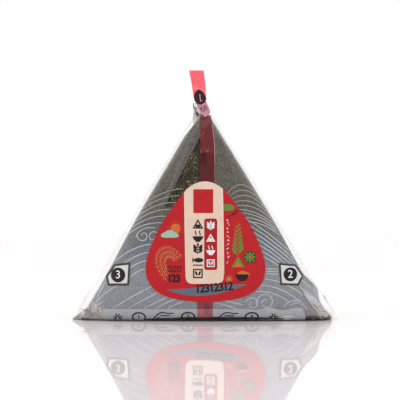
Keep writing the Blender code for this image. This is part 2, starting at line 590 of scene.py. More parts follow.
def scroll(x: float, y: float, radius: float, start: float, turns: float, hand: int) -> list[Point]:
    """Points along a scroll that winds in from its outer radius, starting at an angle in degrees.

    Args:
        x: The middle across.
        y: The middle up.
        radius: The outer radius.
        start: The first angle.
        turns: How often it goes round.
        hand: 1 to wind anticlockwise, -1 to wind clockwise.

    Returns:
        The points.
    """
    made = []
    steps = 26
    for step in range(steps + 1):
        share = step / steps
        angle = math.radians(start) + hand * 2.0 * math.pi * turns * share
        reach = radius * (1.0 - 0.78 * share)
        made.append((x + reach * math.cos(angle), y + reach * math.sin(angle)))
    return made


# ---------------- finishes


class Shade:
    """Builds one material's nodes around a Principled shader, from the Object coordinates."""

    def __init__(self, name: str) -> None:
        """Starts a material with a Principled shader."""
        self.material = bpy.data.materials.new(name)
        self.material.use_nodes = True
        self.tree = self.material.node_tree
        self.shader = self.tree.nodes["Principled BSDF"]
        self.place = self.tree.nodes.new("ShaderNodeTexCoord").outputs["Object"]

    def put(self, socket: str, value: object) -> None:
        """Sets or links one of the shader's own sockets."""
        self.feed(self.shader.inputs[socket], value)

    def feed(self, target: Socket, value: object) -> None:
        """Sets a socket's value, or links another socket to it.

        Args:
            target: The socket to fill.
            value: A number, a colour or another socket.
        """
        if isinstance(value, Socket):
            self.tree.links.new(value, target)
        elif isinstance(value, tuple) and len(value) == 3 and target.type == "RGBA":
            target.default_value = (*value, 1.0)
        else:
            target.default_value = value

    def noise(self, size: float, detail: float = 3.0, stretch: Colour = (1.0, 1.0, 1.0)) -> Socket:
        """Noise with features of this size in metres, longer along an axis whose stretch is above 1.

        Args:
            size: The features' size.
            detail: How many finer layers it has.
            stretch: How much longer the features are along each axis.

        Returns:
            The noise, from 0 to 1.
        """
        mapping = self.tree.nodes.new("ShaderNodeMapping")
        mapping.inputs["Scale"].default_value = tuple(1.0 / (size * each) for each in stretch)
        self.tree.links.new(self.place, mapping.inputs["Vector"])
        made = self.tree.nodes.new("ShaderNodeTexNoise")
        made.inputs["Scale"].default_value = 1.0
        made.inputs["Detail"].default_value = detail
        self.tree.links.new(mapping.outputs["Vector"], made.inputs["Vector"])
        return made.outputs["Fac"]

    def axes(self) -> tuple[Socket, Socket, Socket]:
        """The X, Y and Z of the place.

        Returns:
            The three sockets.
        """
        split = self.tree.nodes.new("ShaderNodeSeparateXYZ")
        self.tree.links.new(self.place, split.inputs["Vector"])
        return split.outputs["X"], split.outputs["Y"], split.outputs["Z"]

    def math(self, operation: str, first: object, second: object = 0.0, third: object = 0.0) -> Socket:
        """One Math node's result.

        Args:
            operation: The node's operation.
            first: The first value.
            second: The second value.
            third: The third value.

        Returns:
            The result.
        """
        made = self.tree.nodes.new("ShaderNodeMath")
        made.operation = operation
        for target, value in zip(made.inputs, (first, second, third)):
            self.feed(target, value)
        return made.outputs["Value"]

    def times(self, first: object, second: object) -> Socket:
        """Multiplies two numbers."""
        return self.math("MULTIPLY", first, second)

    def plus(self, first: object, second: object) -> Socket:
        """Adds two numbers."""
        return self.math("ADD", first, second)

    def minus(self, first: object, second: object) -> Socket:
        """Takes the second number from the first."""
        return self.math("SUBTRACT", first, second)

    def line(self, source: object, slope: float, offset: object) -> Socket:
        """Multiplies a number by a slope and adds an offset."""
        return self.math("MULTIPLY_ADD", source, slope, offset)

    def rise(self, source: Socket, low: float, high: float, first: float = 0.0, last: float = 1.0) -> Socket:
        """Goes smoothly from first to last while the source goes from low to high.

        Args:
            source: The value to read.
            low: Where the change starts.
            high: Where it ends; it may lie below low.
            first: The result before the change.
            last: The result after it.

        Returns:
            The result.
        """
        made = self.tree.nodes.new("ShaderNodeMapRange")
        made.interpolation_type = "SMOOTHSTEP"
        for name, value in (("From Min", low), ("From Max", high), ("To Min", first), ("To Max", last)):
            made.inputs[name].default_value = value
        self.tree.links.new(source, made.inputs["Value"])
        return made.outputs["Result"]

    def patch(self, *stretches: tuple[Socket, float, float]) -> Socket:
        """A mask that comes in along each of several stretches.

        Args:
            stretches: For each, what to read, and where the mask starts and ends its rise, in millimetres.

        Returns:
            The mask, 1 where all of them have risen.
        """
        mask, *others = [self.rise(source, low * MM, high * MM) for source, low, high in stretches]
        for other in others:
            mask = self.times(mask, other)
        return mask

    def blend(self, factor: object, first: object, second: object) -> Socket:
        """Mixes two colours.

        Args:
            factor: The second one's share.
            first: The first one.
            second: The second one.

        Returns:
            The mix.
        """
        made = self.tree.nodes.new("ShaderNodeMix")
        made.data_type = "RGBA"
        self.feed(made.inputs[0], factor)
        self.feed(made.inputs[6], first)
        self.feed(made.inputs[7], second)
        return made.outputs[2]

    def between(self, factor: object, first: object, second: object) -> Socket:
        """Mixes two numbers.

        Args:
            factor: The second one's share.
            first: The first one.
            second: The second one.

        Returns:
            The mix.
        """
        made = self.tree.nodes.new("ShaderNodeMix")
        made.data_type = "FLOAT"
        self.feed(made.inputs[0], factor)
        self.feed(made.inputs[2], first)
        self.feed(made.inputs[3], second)
        return made.outputs[0]

    def bump(self, height: Socket, depth: float, strength: float = 1.0) -> None:
        """Roughens the surface by this height, in metres.

        Args:
            height: The height, from 0 to 1.
            depth: How far 1 stands out.
            strength: Its share.
        """
        made = self.tree.nodes.new("ShaderNodeBump")
        made.inputs["Strength"].default_value = strength
        made.inputs["Distance"].default_value = depth
        self.tree.links.new(height, made.inputs["Height"])
        self.tree.links.new(made.outputs["Normal"], self.shader.inputs["Normal"])


@dataclass(frozen=True)
class Ink:
    """A printed or coated colour: even, with a slight unevenness of tone and of gloss."""

    name: str
    colour: Colour
    roughness: float = 0.42
    specular: float = 0.22
    change: float = 0.03
    grain: float = 2.4 * MM

    def material(self) -> Material:
        """Makes the finish.

        Returns:
            The material.
        """
        shade = Shade(self.name)
        cloud = shade.noise(self.grain, 3.0)
        darker = tuple(channel * (1.0 - self.change) for channel in self.colour)
        lighter = tuple(min(channel * (1.0 + self.change), 1.0) for channel in self.colour)
        shade.put("Base Color", shade.blend(shade.rise(cloud, 0.3, 0.7), darker, lighter))
        shade.put("Roughness", shade.rise(cloud, 0.25, 0.75, self.roughness - 0.06, self.roughness + 0.08))
        shade.put("Specular IOR Level", self.specular)
        shade.bump(shade.noise(0.5 * MM, 2.0), 0.004 * MM)
        return shade.material


@dataclass(frozen=True)
class NoriFinish:
    """Dried seaweed: near black green, with pressed fibres and lighter flecks."""

    dark: Colour = (0.012, 0.011, 0.006)
    olive: Colour = (0.070, 0.062, 0.032)
    fleck: Colour = (0.42, 0.39, 0.22)
    rust: Colour = (0.20, 0.11, 0.05)

    def material(self) -> Material:
        """Makes the finish.

        Returns:
            The material.
        """
        shade = Shade("nori")
        fibres = shade.noise(0.75 * MM, 6.0, (1.0, 1.0, 1.5))
        clouds = shade.noise(4.5 * MM, 4.0)
        flecks = shade.noise(0.55 * MM, 3.0, (1.9, 1.0, 1.0))
        strands = shade.noise(1.6 * MM, 4.0, (0.35, 1.0, 2.6))
        kinds = shade.noise(1.5 * MM, 1.0)
        ground = shade.blend(shade.rise(fibres, 0.40, 0.62), self.dark, self.olive)
        tone = shade.blend(shade.rise(clouds, 0.3, 0.7, 0.0, 0.6), ground, self.dark)
        mark = shade.blend(shade.rise(kinds, 0.46, 0.60), self.fleck, self.rust)
        specks = shade.rise(flecks, 0.55, 0.66)
        amount = shade.math("MAXIMUM", specks, shade.rise(strands, 0.58, 0.68, 0.0, 0.7))
        amount = shade.times(amount, shade.rise(clouds, 0.62, 0.42, 0.35, 0.9))
        shade.put("Base Color", shade.blend(amount, tone, mark))
        shade.put("Roughness", shade.rise(fibres, 0.3, 0.7, 0.62, 0.40))
        shade.put("Specular IOR Level", 0.3)
        shade.bump(fibres, 0.08 * MM, 0.8)
        return shade.material


@dataclass(frozen=True)
class FilmFinish:
    """Clear glossy film: hazy where it stands off the nori, tinted by its print lower down."""

    haze: Colour = linear(118, 113, 105)
    deep_haze: Colour = linear(92, 88, 81)
    clear: Colour = (0.05, 0.045, 0.03)
    tint: Colour = linear(149, 153, 158)
    deep_tint: Colour = linear(131, 135, 140)
    high_tint: Colour = linear(121, 126, 132)
    deep_high_tint: Colour = linear(105, 109, 116)
    veil: Colour = linear(150, 155, 157)
    pocket: Colour = linear(184, 182, 182)
    # Colour of the painted shadow low on the film at the right end of the foot.
    under: Colour = linear(84, 72, 64)
    deep_pocket: Colour = linear(152, 147, 140)
    margin: Colour = (0.90, 0.89, 0.86)
    tint_high: float = 47.0 * MM
    tint_low: float = 27.0 * MM
    print_edge: float = 52.5 * MM
    print_slope: float = 0.599
    window_edge: float = 39.9 * MM
    window_slope: float = 0.506
    fold_edge: float = 62.0 * MM
    fold_slope: float = 1.24

    def material(self) -> Material:
        """Makes the finish.

        Returns:
            The material.
        """
        shade = Shade("printed_film")
        x, y, z = shade.axes()
        speck = shade.noise(0.7 * MM, 4.0)
        cloud = shade.noise(7.0 * MM, 3.0)
        streak = shade.noise(1.9 * MM, 5.0, (0.8, 1.0, 1.2))
        wobble = shade.times(shade.minus(cloud, 0.5), 3.0 * MM)

        tinted = shade.rise(shade.plus(z, shade.times(wobble, 3.0)), self.tint_high, self.tint_low)
        window = self.window(shade, x, y, z, wobble)
        beyond = self.past_print(shade, x, z)
        past = shade.rise(beyond, -0.2 * MM, 0.3 * MM)
        flat = shade.rise(shade.math("ABSOLUTE", y), 5.0 * MM, 3.0 * MM)
        side = shade.times(past, flat)
        margin = shade.minus(past, side)
        strip, veil, corner = self.pocket_masks(shade, x, z, wobble)
        pocket = shade.math("MAXIMUM", strip, corner)

        fine = shade.rise(speck, 0.38, 0.62)
        tone = shade.blend(window, shade.blend(fine, self.haze, self.deep_haze), self.clear)
        upward = shade.rise(z, 16.0 * MM, 32.0 * MM)
        print_tone = shade.blend(upward, self.tint, self.high_tint)
        deep_tone = shade.blend(upward, self.deep_tint, self.deep_high_tint)
        tone = shade.blend(tinted, tone, shade.blend(fine, print_tone, deep_tone))
        tone = shade.blend(veil, tone, self.veil)
        crumple = shade.times(shade.rise(streak, 0.42, 0.60), shade.between(corner, 0.12, 1.0))
        tone = shade.blend(pocket, tone, shade.blend(crumple, self.pocket, self.deep_pocket))
        # Painted shadow: the film turns dark brown below about 2 mm at the right end of the foot (x above 33
        # mm), where the pack meets the floor.
        tone = shade.blend(shade.patch((z, 2.5, 1.5), (x, 33.0, 37.0)), tone, self.under)
        tone = shade.blend(margin, tone, self.margin)
        shade.put("Base Color", tone)

        cover = shade.between(window, shade.rise(cloud, 0.3, 0.7, 0.70, 0.82), 0.10)
        cover = shade.between(tinted, cover, 0.92)
        cover = shade.between(pocket, cover, 0.93)
        cover = shade.between(side, cover, 0.07)
        edge = shade.rise(beyond, 0.2 * MM, 1.8 * MM, 0.30, 0.05)
        shade.put("Alpha", shade.between(margin, cover, edge))
        shade.put("Roughness", shade.rise(cloud, 0.3, 0.7, 0.16, 0.26))
        shade.put("Specular IOR Level", 0.3)
        shade.bump(shade.noise(2.6 * MM, 3.0), 0.05 * MM, 0.6)
        return shade.material

    def window(self, shade: Shade, x: Socket, y: Socket, z: Socket, wobble: Socket) -> Socket:
        """Where the film lies on the nori and shows it clearly: a wedge left of the tape.

        Args:
            shade: The material being made.
            x: The place across.
            y: The place along the depth.
            z: The height.
            wobble: A small unevenness, in metres.

        Returns:
            The wedge's mask.
        """
        fold = shade.line(z, -self.window_slope, self.window_edge)
        right_of_fold = shade.plus(shade.plus(x, fold), shade.times(wobble, 0.3))
        left_of_tape, front = (x, 0.4, -0.6), (y, 0.0, -1.0)
        return shade.patch((right_of_fold, 0.0, 0.5), left_of_tape, (z, 44.0, 49.0), (z, 80.0, 77.0), front)

    def past_print(self, shade: Shade, x: Socket, z: Socket) -> Socket:
        """How far this place lies past the print's slanting edge, in metres.

        Args:
            shade: The material being made.
            x: The place across.
            z: The height.

        Returns:
            The distance.
        """
        middle = shade.line(z, 0.012, -0.3 * MM)
        off = shade.math("ABSOLUTE", shade.plus(x, middle))
        past = shade.plus(off, shade.line(z, self.print_slope, -self.print_edge))
        inset = shade.rise(z, 14.0 * MM, 46.0 * MM, 1.5 * MM, 0.0)
        right, left = (x, -1.0, 1.0), (x, 1.0, -1.0)
        bulge, belly = ((z, 21.0, 13.0), right), ((z, 19.5, 13.4), (z, 9.6, 13.2), right)
        notch, shoulder = ((z, 10.6, 7.6), (z, 2.0, 5.0), right), ((z, 74.0, 83.0), left)
        for stretches, shift in ((bulge, -0.9), (belly, -1.4), (notch, 0.9), (shoulder, 1.6)):
            inset = shade.line(shade.patch(*stretches), shift * MM, inset)
        return shade.plus(past, inset)

    def pocket_masks(
        self, shade: Shade, x: Socket, z: Socket, wobble: Socket
    ) -> tuple[Socket, Socket, Socket]:
        """Where the film's lower corners are slack.

        Args:
            shade: The material being made.
            x: The place across.
            z: The height.
            wobble: A small unevenness, in metres.

        Returns:
            The right corner's bright fold, the paler film beyond it, and the left corner's crumpled end.
        """
        slant = shade.plus(z, shade.line(x, self.fold_slope, -self.fold_edge))
        slant = shade.line(wobble, 0.35, slant)
        breadth = shade.rise(z, 13.5 * MM, 9.0 * MM, 0.6 * MM, 2.6 * MM)
        fold = shade.rise(shade.minus(shade.math("ABSOLUTE", slant), breadth), 0.4 * MM, -0.4 * MM)
        strip = shade.times(fold, shade.rise(z, 14.0 * MM, 12.0 * MM))
        veil = shade.patch((slant, 0.5, 1.5), (z, 15.0, 12.5))
        ragged = shade.times(shade.minus(shade.noise(2.0 * MM, 5.0), 0.5), 11.0 * MM)
        outwards = shade.minus(shade.line(z, -0.3, ragged), x)
        return strip, veil, shade.patch((outwards, 38.6, 41.0), (shade.line(ragged, 0.8, z), 9.5, 5.6))


@dataclass(frozen=True)
class ClearFilm:
    """Loose bare film, and thin marks of painted highlight and shade: almost clear, whitish where crumpled.

    Along X it thins out between the two ends. It comes in between the two distances of root from the middle,
    and between the first two heights of span, and goes out again between the last two.
    """

    name: str
    colour: Colour
    cover_low: float
    cover_high: float
    speck: Colour | None = None
    ends: tuple[float, float] | None = None
    root: tuple[float, float] | None = None
    span: tuple[float, float, float, float] | None = None

    def material(self) -> Material:
        """Makes the finish.

        Returns:
            The material.
        """
        shade = Shade(self.name)
        cloud = shade.noise(2.2 * MM, 4.0)
        tone = self.colour
        if self.speck:
            marks = shade.noise(0.7 * MM, 1.0)
            tone = shade.blend(shade.rise(marks, 0.56, 0.62), self.colour, self.speck)
        cover = shade.rise(cloud, 0.3, 0.7, self.cover_low, self.cover_high)
        if self.ends:
            cover = shade.times(cover, shade.rise(shade.axes()[0], *self.ends, 1.0, 0.1))
        if self.root:
            out = shade.math("ABSOLUTE", shade.axes()[0])
            cover = shade.times(cover, shade.rise(out, *self.root, 0.25, 1.0))
        if self.span:
            _, _, z = shade.axes()
            cover = shade.times(cover, shade.rise(z, *self.span[:2]))
            cover = shade.times(cover, shade.rise(z, self.span[3], self.span[2]))
        shade.put("Base Color", tone)
        shade.put("Alpha", cover)
        shade.put("Roughness", shade.rise(cloud, 0.3, 0.7, 0.12, 0.25))
        shade.bump(shade.noise(1.2 * MM, 3.0), 0.05 * MM, 0.7)
        return shade.material


@dataclass(frozen=True)
class TapeFinish:
    """See-through red tape over dark nori, with lighter print under its foot."""

    upper: Colour = linear(106, 38, 40)
    middle: Colour = linear(89, 29, 30)
    foot: Colour = linear(136, 60, 72)
    over_band: Colour = linear(176, 104, 115)
    stuck: Colour = linear(70, 17, 16)

    def material(self) -> Material:
        """Makes the finish.

        Returns:
            The material.
        """
        shade = Shade("tear_tape")
        x, y, z = shade.axes()
        cloud = shade.noise(5.0 * MM, 3.0, (0.6, 1.0, 1.6))
        tone = shade.blend(shade.rise(z, 66.5 * MM, 69.0 * MM), self.middle, self.upper)
        tone = shade.blend(shade.rise(z, 16.0 * MM, 8.0 * MM), tone, self.foot)
        tone = shade.blend(shade.rise(z, 5.5 * MM, 5.0 * MM), tone, self.over_band)
        stuck = shade.patch((x, 0.8, 0.2), (y, 0.0, -1.0), (z, 68.6, 67.8), (z, 62.0, 65.0))
        tone = shade.blend(stuck, tone, self.stuck)
        deep = shade.blend(0.35, tone, (0.02, 0.004, 0.004))
        shade.put("Base Color", shade.blend(shade.rise(cloud, 0.52, 0.70), tone, deep))
        shade.put("Roughness", shade.rise(cloud, 0.3, 0.7, 0.22, 0.34))
        shade.put("Specular IOR Level", 0.25)
        shade.bump(shade.noise(1.8 * MM, 2.0, (2.5, 1.0, 0.6)), 0.05 * MM, 0.6)
        return shade.material


@dataclass(frozen=True)
class WaveInk:
    """Pale line print that dims towards the top, where it lies over bare nori."""

    low: Colour = linear(182, 189, 196)
    high: Colour = linear(142, 142, 134)

    def material(self) -> Material:
        """Makes the finish.

        Returns:
            The material.
        """
        shade = Shade("wave_print")
        _, _, z = shade.axes()
        tone = shade.blend(shade.rise(z, 30.0 * MM, 52.0 * MM), self.low, self.high)
        thin = shade.noise(2.0 * MM, 3.0)
        weaker = shade.blend(0.4, tone, linear(130, 134, 138))
        shade.put("Base Color", shade.blend(shade.rise(thin, 0.45, 0.7), tone, weaker))
        shade.put("Roughness", shade.rise(thin, 0.3, 0.7, 0.35, 0.45))
        shade.put("Specular IOR Level", 0.3)
        return shade.material


@dataclass(frozen=True)
class TabFinish:
    """Coral tape with the light coming through it, paler where bare film lies behind it."""

    bright: Colour = linear(255, 100, 114)
    pale: Colour = linear(186, 120, 140)

    def material(self) -> Material:
        """Makes the finish.

        Returns:
            The material.
        """
        shade = Shade("pull_tab")
        _, _, z = shade.axes()
        cloud = shade.noise(3.0 * MM, 3.0)
        tone = shade.blend(shade.rise(z, 92.5 * MM, 88.5 * MM), self.bright, self.pale)
        lighter = shade.blend(0.25, tone, (1.0, 0.45, 0.45))
        shade.put("Base Color", shade.blend(shade.rise(cloud, 0.45, 0.7), tone, lighter))
        shade.put("Roughness", shade.rise(cloud, 0.3, 0.7, 0.30, 0.42))
        shade.put("Subsurface Weight", 0.15)
        shade.put("Subsurface Scale", 1.0 * MM)
        shade.bump(shade.noise(1.5 * MM, 2.0), 0.03 * MM, 0.5)
        return shade.material


def ink(
    name: str, red: int, green: int, blue: int, roughness: float = 0.42, change: float = 0.03
) -> Material:
    """Makes a printed colour's finish from its red, green and blue on the 0 to 255 scale."""
    return Ink(name, linear(red, green, blue), roughness, change=change).material()


class Palette:
    """Every printed colour of the sticker and the film, made once."""

    def __init__(self) -> None:
        """Makes the finishes."""
        self.red = ink("sticker_red", 184, 29, 36)
        self.deep_red = ink("deep_red", 168, 26, 34)
        self.cream = ink("cream", 228, 202, 182)
        self.white = ink("pale_print", 232, 230, 228)
        self.pale = ink("marker_field", 212, 211, 211)
        self.black = ink("black_print", 32, 29, 30)
        self.olive = ink("dark_olive", 64, 64, 58, change=0.25)
        self.brown = ink("dark_brown", 78, 34, 30)
        self.gold = ink("grain_gold", 204, 146, 92)
        self.orange = ink("orange", 206, 108, 48)
        self.mint = ink("mint", 156, 188, 170)
        self.green = ink("leaf_green", 99, 135, 56)
        self.moss = ink("moss_green", 54, 66, 40)
        self.steel = ink("steel_blue", 98, 106, 122)
        self.band = ink("foot_band", 175, 178, 181, 0.30)
        self.wave = WaveInk().material()


# ---------------- the wrap


@dataclass
class NoriCore:
    """The rice ball in its nori, a little smaller than the film and blunter at its lower corners."""

    form: PackForm = PackForm(trim_x=2.3 * MM, trim_y=0.9 * MM)
    foot: float = 0.5 * MM
    top: float = 82.6 * MM
    corner_rise: float = 11.0 * MM
    corner_inset: float = 4.2 * MM
    waist_inset: float = 1.5 * MM

    def build(self) -> Piece:
        """Builds the core and puts it in the sealed pack's place.

        Returns:
            The piece.
        """
        bm = box_net(96, 96, 24)
        for vert in bm.verts:
            across, along, up = vert.co
            z = self.foot + (self.top - self.foot) * crowded(up)
            place = self.form.section_point(across, along, z)
            inset = self.corner_inset * self.form.rounding(z, self.corner_rise)
            inset += self.waist_inset * smooth(z, 46.0 * MM, 14.0 * MM)
            place.x -= inset * across
            vert.co = place
        bm.normal_update()
        for vert in bm.verts:
            x, y, z = vert.co / MM
            lift = 0.20 * mottled(x, y, z, 8.0) + 0.10 * mottled(x, y, z, 2.6)
            vert.co += vert.normal * lift * MM * smooth(z, 0.5, 3.0)
        bmesh.ops.recalc_face_normals(bm, faces=bm.faces)
        piece = add_piece("nori_core", bm, NoriFinish().material())
        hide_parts("film_pack")
        return piece


@dataclass
class FilmShell:
    """The sealed outer film."""

    form: PackForm = PackForm()
    columns: int = 150
    rows: int = 150
    layers: int = 34

    def build(self) -> FilmSurface:
        """Builds the film and gives its surface for the prints to lie on.

        Returns:
            The surface.
        """
        relief = FilmRelief(self.form)
        low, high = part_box("film_pack")
        bm = box_net(self.columns, self.rows, self.layers)
        for vert in bm.verts:
            across, along, up = vert.co
            z = self.form.height * crowded(up)
            vert.co = self.form.section_point(across, along, z)
        bm.normal_update()
        lifts = {vert: relief.height(vert.co) for vert in bm.verts}
        for vert, lift in lifts.items():
            vert.co += vert.normal * lift
            for axis in range(3):
                vert.co[axis] = min(max(vert.co[axis], low[axis]), high[axis])
        bmesh.ops.recalc_face_normals(bm, faces=bm.faces)
        surface = FilmSurface(self.form, BVHTree.FromBMesh(bm))
        piece = add_piece("film_shell", bm, FilmFinish().material())
        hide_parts("film_pack")
        return surface


@dataclass
class SideFlap:
    """The film's overlap on a slanting side: one sheet folded over the other along the whole side."""

    side: Side
    front_edge: float = -4.0 * MM
    back_edge: float = 8.5 * MM
    foot: float = 8.0 * MM
    top: float = 80.0 * MM
    lift: float = 0.22 * MM
    sheet: float = 0.07 * MM

    def build(self, film: FilmSurface, material: Material) -> Piece:
        """Lays the flap on the side, with a wavy free edge.

        Args:
            film: The surface to lie on.
            material: The loose film's finish.

        Returns:
            The piece.
        """
        bm = bmesh.new()
        bmesh.ops.create_grid(bm, x_segments=16, y_segments=90, size=1.0)
        for vert in bm.verts:
            share = (vert.co.x + 1.0) / 2.0
            z = self.foot + (self.top - self.foot) * (vert.co.y + 1.0) / 2.0
            z -= 5.0 * MM * smooth(z, 66.0 * MM, self.top) * abs(mottled(share * 5.0, 2.0, 0.0, 1.0))
            shrink = min(1.0, 0.35 + film.form.half_depth(z) / (22.0 * MM))
            wave = 2.4 * MM * mottled(z / MM, self.side.value * 4.0, 0.0, 13.0)
            wave += 0.7 * MM * mottled(z / MM, self.side.value * 9.0, 0.0, 4.0)
            y = (self.front_edge * (1.0 - share) + self.back_edge * share) * shrink
            y += wave * (1.0 - share) - 0.6 * wave * share
            reach = film.form.half_width(z) + 1.0 * MM
            near = Vector((film.form.centre_x(z) + self.side.value * reach, y, z))
            crumple = 0.05 * MM * abs(mottled(z / MM, y / MM, 5.0, 2.4))
            free = 0.25 * MM * smooth(share, 0.2, 0.0) * (0.5 + mottled(z / MM, 2.0, 0.0, 5.0))
            vert.co = film.settle(near, self.lift + crumple + max(free, 0.0))
        close_slab(bm, lambda spot: film.settle(spot, (spot - film.settle(spot, 0.0)).length + self.sheet))
        name = f"side_flap_{self.side.name.lower()}"
        return add_piece(name, bm, material)


@dataclass
class CornerGather:
    """Crumpled film at a lower corner: pleats that run out to a flat ragged tip on the floor."""

    side: Side
    root: float = 43.5 * MM
    reach: float = 54.2 * MM
    middle_y: float = -3.0 * MM
    root_height: float = 4.4 * MM
    root_half_depth: float = 8.5 * MM
    tip_half_depth: float = 5.0 * MM
    pleats: int = 7

    def build(self, material: Material) -> Piece:
        """Builds the gather as a closed pleated cone.

        Args:
            material: The gathered film's finish.

        Returns:
            The piece.
        """
        bm = bmesh.new()
        length = self.reach - self.root
        bmesh.ops.create_cone(bm, cap_ends=True, segments=84, radius1=1.0, radius2=1.0, depth=2.0)
        bmesh.ops.subdivide_edges(bm, edges=edges_along(bm, 2), cuts=26)
        seed = 10.0 * self.side.value
        for vert in bm.verts:
            angle = math.atan2(vert.co.y, vert.co.x)
            out = (vert.co.z + 1.0) / 2.0
            pleat = 1.0 + 0.24 * math.cos(self.pleats * angle + 2.5 * mottled(out * 3.0, angle, seed, 1.0))
            pleat += 0.22 * mottled(math.cos(angle) * 3.0 + seed, math.sin(angle) * 3.0, out * 4.0, 1.0)
            narrow = (1.0 - out) ** 0.8
            half_depth = self.tip_half_depth * out * 0.55 + self.root_half_depth * narrow
            half_height = 0.35 * MM + (self.root_height - 0.35 * MM) * narrow**1.3
            ragged = 1.0 - 0.16 * out * abs(mottled(angle * 2.2, seed, 0.0, 1.0))
            reach = self.root + length * out * ragged
            y = self.middle_y + half_depth * math.cos(angle) * pleat
            z = half_height + half_height * math.sin(angle) * min(pleat, 1.0) * 0.96
            vert.co = Vector((self.side.value * reach, y, max(z, 0.05 * MM)))
        bmesh.ops.recalc_face_normals(bm, faces=bm.faces)
        return add_piece(f"corner_gather_{self.side.name.lower()}", bm, material)


@dataclass
class CornerFolds:
    """Sharp little folds at the lower corners: painted highlights on ridges, thin painted shade in valleys.
    """

    seed: int = 5
    folds_each_side: int = 20
    sheet: float = 0.03
    cut: float = 0.8
    ridge_highlights: tuple[tuple[Point, ...], ...] = (
        ((38.0, 14.6), (40.2, 11.8), (43.0, 8.2), (46.4, 4.4)),
        ((41.6, 10.8), (45.2, 7.0), (48.6, 3.9)),
    )
    valley_shade_line: tuple[Point, ...] = ((38.4, 12.8), (40.4, 8.8), (45.2, 3.5))
    base_glares: tuple[tuple[Point, ...], ...] = (
        ((30.4, 1.5), (33.0, 2.3), (36.2, 1.8)),
        ((30.0, 0.8), (33.0, 1.2), (34.6, 0.9)),
    )

    def build(self, film: FilmSurface) -> None:
        """Lays the painted ridge highlights and valley shade on both corners, and the glares beside the right
        one.

        Args:
            film: The surface to lie on.
        """
        bright, dark, glare = FlatArt(), FlatArt(), FlatArt()
        # Painted highlights along the right corner's fold, with a line of painted shade beside them.
        for ridge in self.ridge_highlights:
            bright.ribbon(bezier(ridge, 18), 0.45, 0.7)
        dark.ribbon(bezier(self.valley_shade_line, 10), 0.26, 0.5)
        for shine in self.base_glares:
            glare.ribbon(bezier(shine, 12), 0.5, 0.7)
        self.scatter(bright, dark)
        # The pale see-through ribbons are painted highlights, the grey ones painted shade, and the white ink
        # a painted glare.
        white = ink("film_glare", 236, 234, 232, 0.2)
        pale = ClearFilm("painted_ridge_highlight", linear(236, 234, 230), 0.2, 0.7).material()
        grey = ClearFilm("painted_valley_shade", linear(112, 106, 96), 0.25, 0.7).material()
        glare.lay("base_glare", film, white, 0.12, self.sheet, self.cut)
        bright.lay("corner_ridge_highlights", film, pale, 0.10, self.sheet, self.cut)
        dark.lay("corner_valley_shade", film, grey, 0.07, 0.02, self.cut)

    def scatter(self, bright: FlatArt, dark: FlatArt) -> None:
        """Draws short folds over both corners as painted highlights, every fourth one as painted valley
        shade.

        Args:
            bright: The drawing of the painted ridge highlights.
            dark: The drawing of the painted valley shade.
        """
        chance = random.Random(self.seed)
        for side in Side:
            for index in range(self.folds_each_side):
                reach = chance.uniform(41.5, 50.0)
                z = chance.uniform(0.8, max(1.6, min(9.0, (53.0 - reach) * 0.8)))
                slope = chance.uniform(-0.9, 0.5)
                length = chance.uniform(1.2, 3.4)
                start = (side.value * reach, z)
                halfway = z + 0.5 * slope * length + chance.uniform(-0.5, 0.5)
                bend = (side.value * (reach + 0.5 * length), halfway)
                end = (side.value * (reach + length), max(z + slope * length, 0.5))
                art = dark if index % 4 == 0 else bright
                art.ribbon(bezier((start, bend, end), 6), chance.uniform(0.16, 0.34), 0.8)


@dataclass
class ApexGather:
    """The film's two ends pressed together over the apex, crumpled and torn along the top."""

    left: float = -4.8 * MM
    right: float = 3.2 * MM
    low: float = 80.5 * MM
    high: float = 89.0 * MM
    sheet: float = 0.07 * MM

    def build(self, material: Material) -> list[Piece]:
        """Builds the two crumpled sheets.

        Args:
            material: The crumpled film's finish.

        Returns:
            The pieces.
        """
        made = []
        for index, depth in enumerate((-0.45 * MM, 0.4 * MM)):
            bm = bmesh.new()
            bmesh.ops.create_grid(bm, x_segments=40, y_segments=30, size=1.0)
            for vert in bm.verts:
                across = (vert.co.x + 1.0) / 2.0
                up = (vert.co.y + 1.0) / 2.0
                top = self.high - 4.0 * MM * across
                top -= 1.4 * MM * (0.5 + 0.5 * mottled(across * 9.0, index * 7.0, 0.0, 1.0))
                z = self.low + (top - self.low) * up
                lean = 1.0 - 0.18 * up
                x = (self.left + self.right) / 2.0 + (self.right - self.left) * (across - 0.5) * lean
                fold = 0.30 * math.sin(across * 19.0 + 3.0 * up + index) * up
                fold += 0.22 * mottled(across * 8.0, up * 6.0, index * 3.0, 1.0)
                vert.co = Vector((x - 0.8 * MM * up, depth + fold * MM, z))
            close_slab(bm, lambda spot: spot + Vector((0.0, self.sheet, 0.0)))
            made.append(add_piece(f"apex_film_{index + 1}", bm, material))
        return made

    def print_marks(self, dark: Material, patch: Material) -> None:
        """Adds the torn print on the film's left end, and the darker fold under it.

        Args:
            dark: The print's ink.
            patch: The fold's finish.
        """
        strokes, fold = FlatArt(), FlatArt()
        path = ((-4.8, 88.9), (-4.6, 87.9), (-4.7, 87.2), (-4.0, 86.6), (-4.1, 85.9), (-3.5, 85.2))
        strokes.ribbon(path, 0.42, 0.3)
        strokes.ribbon(((-3.9, 88.9), (-3.7, 88.2)), 0.3)
        strokes.ribbon(((-3.9, 87.4), (-3.4, 86.9), (-3.5, 86.2)), 0.26)
        fold.polygon(((-4.0, 85.2), (-3.6, 84.0), (-3.3, 82.9), (-2.4, 82.8), (-2.2, 84.0), (-3.0, 85.4)))
        layers = (("crest_print", strokes, dark, -1.5), ("crest_fold", fold, patch, -2.0))
        for name, art, finish, depth in layers:
            art.cut_finely(0.6)
            for vert in art.bm.verts:
                x, z = vert.co.x, vert.co.y
                vert.co = Vector((x, depth + 0.15 * mottled(x, z, 0.0, 1.1), z)) * MM
            close_slab(art.bm, lambda spot: spot + Vector((0.0, -0.04 * MM, 0.0)))
            add_piece(name, art.bm, finish)


# ---------------- the tape


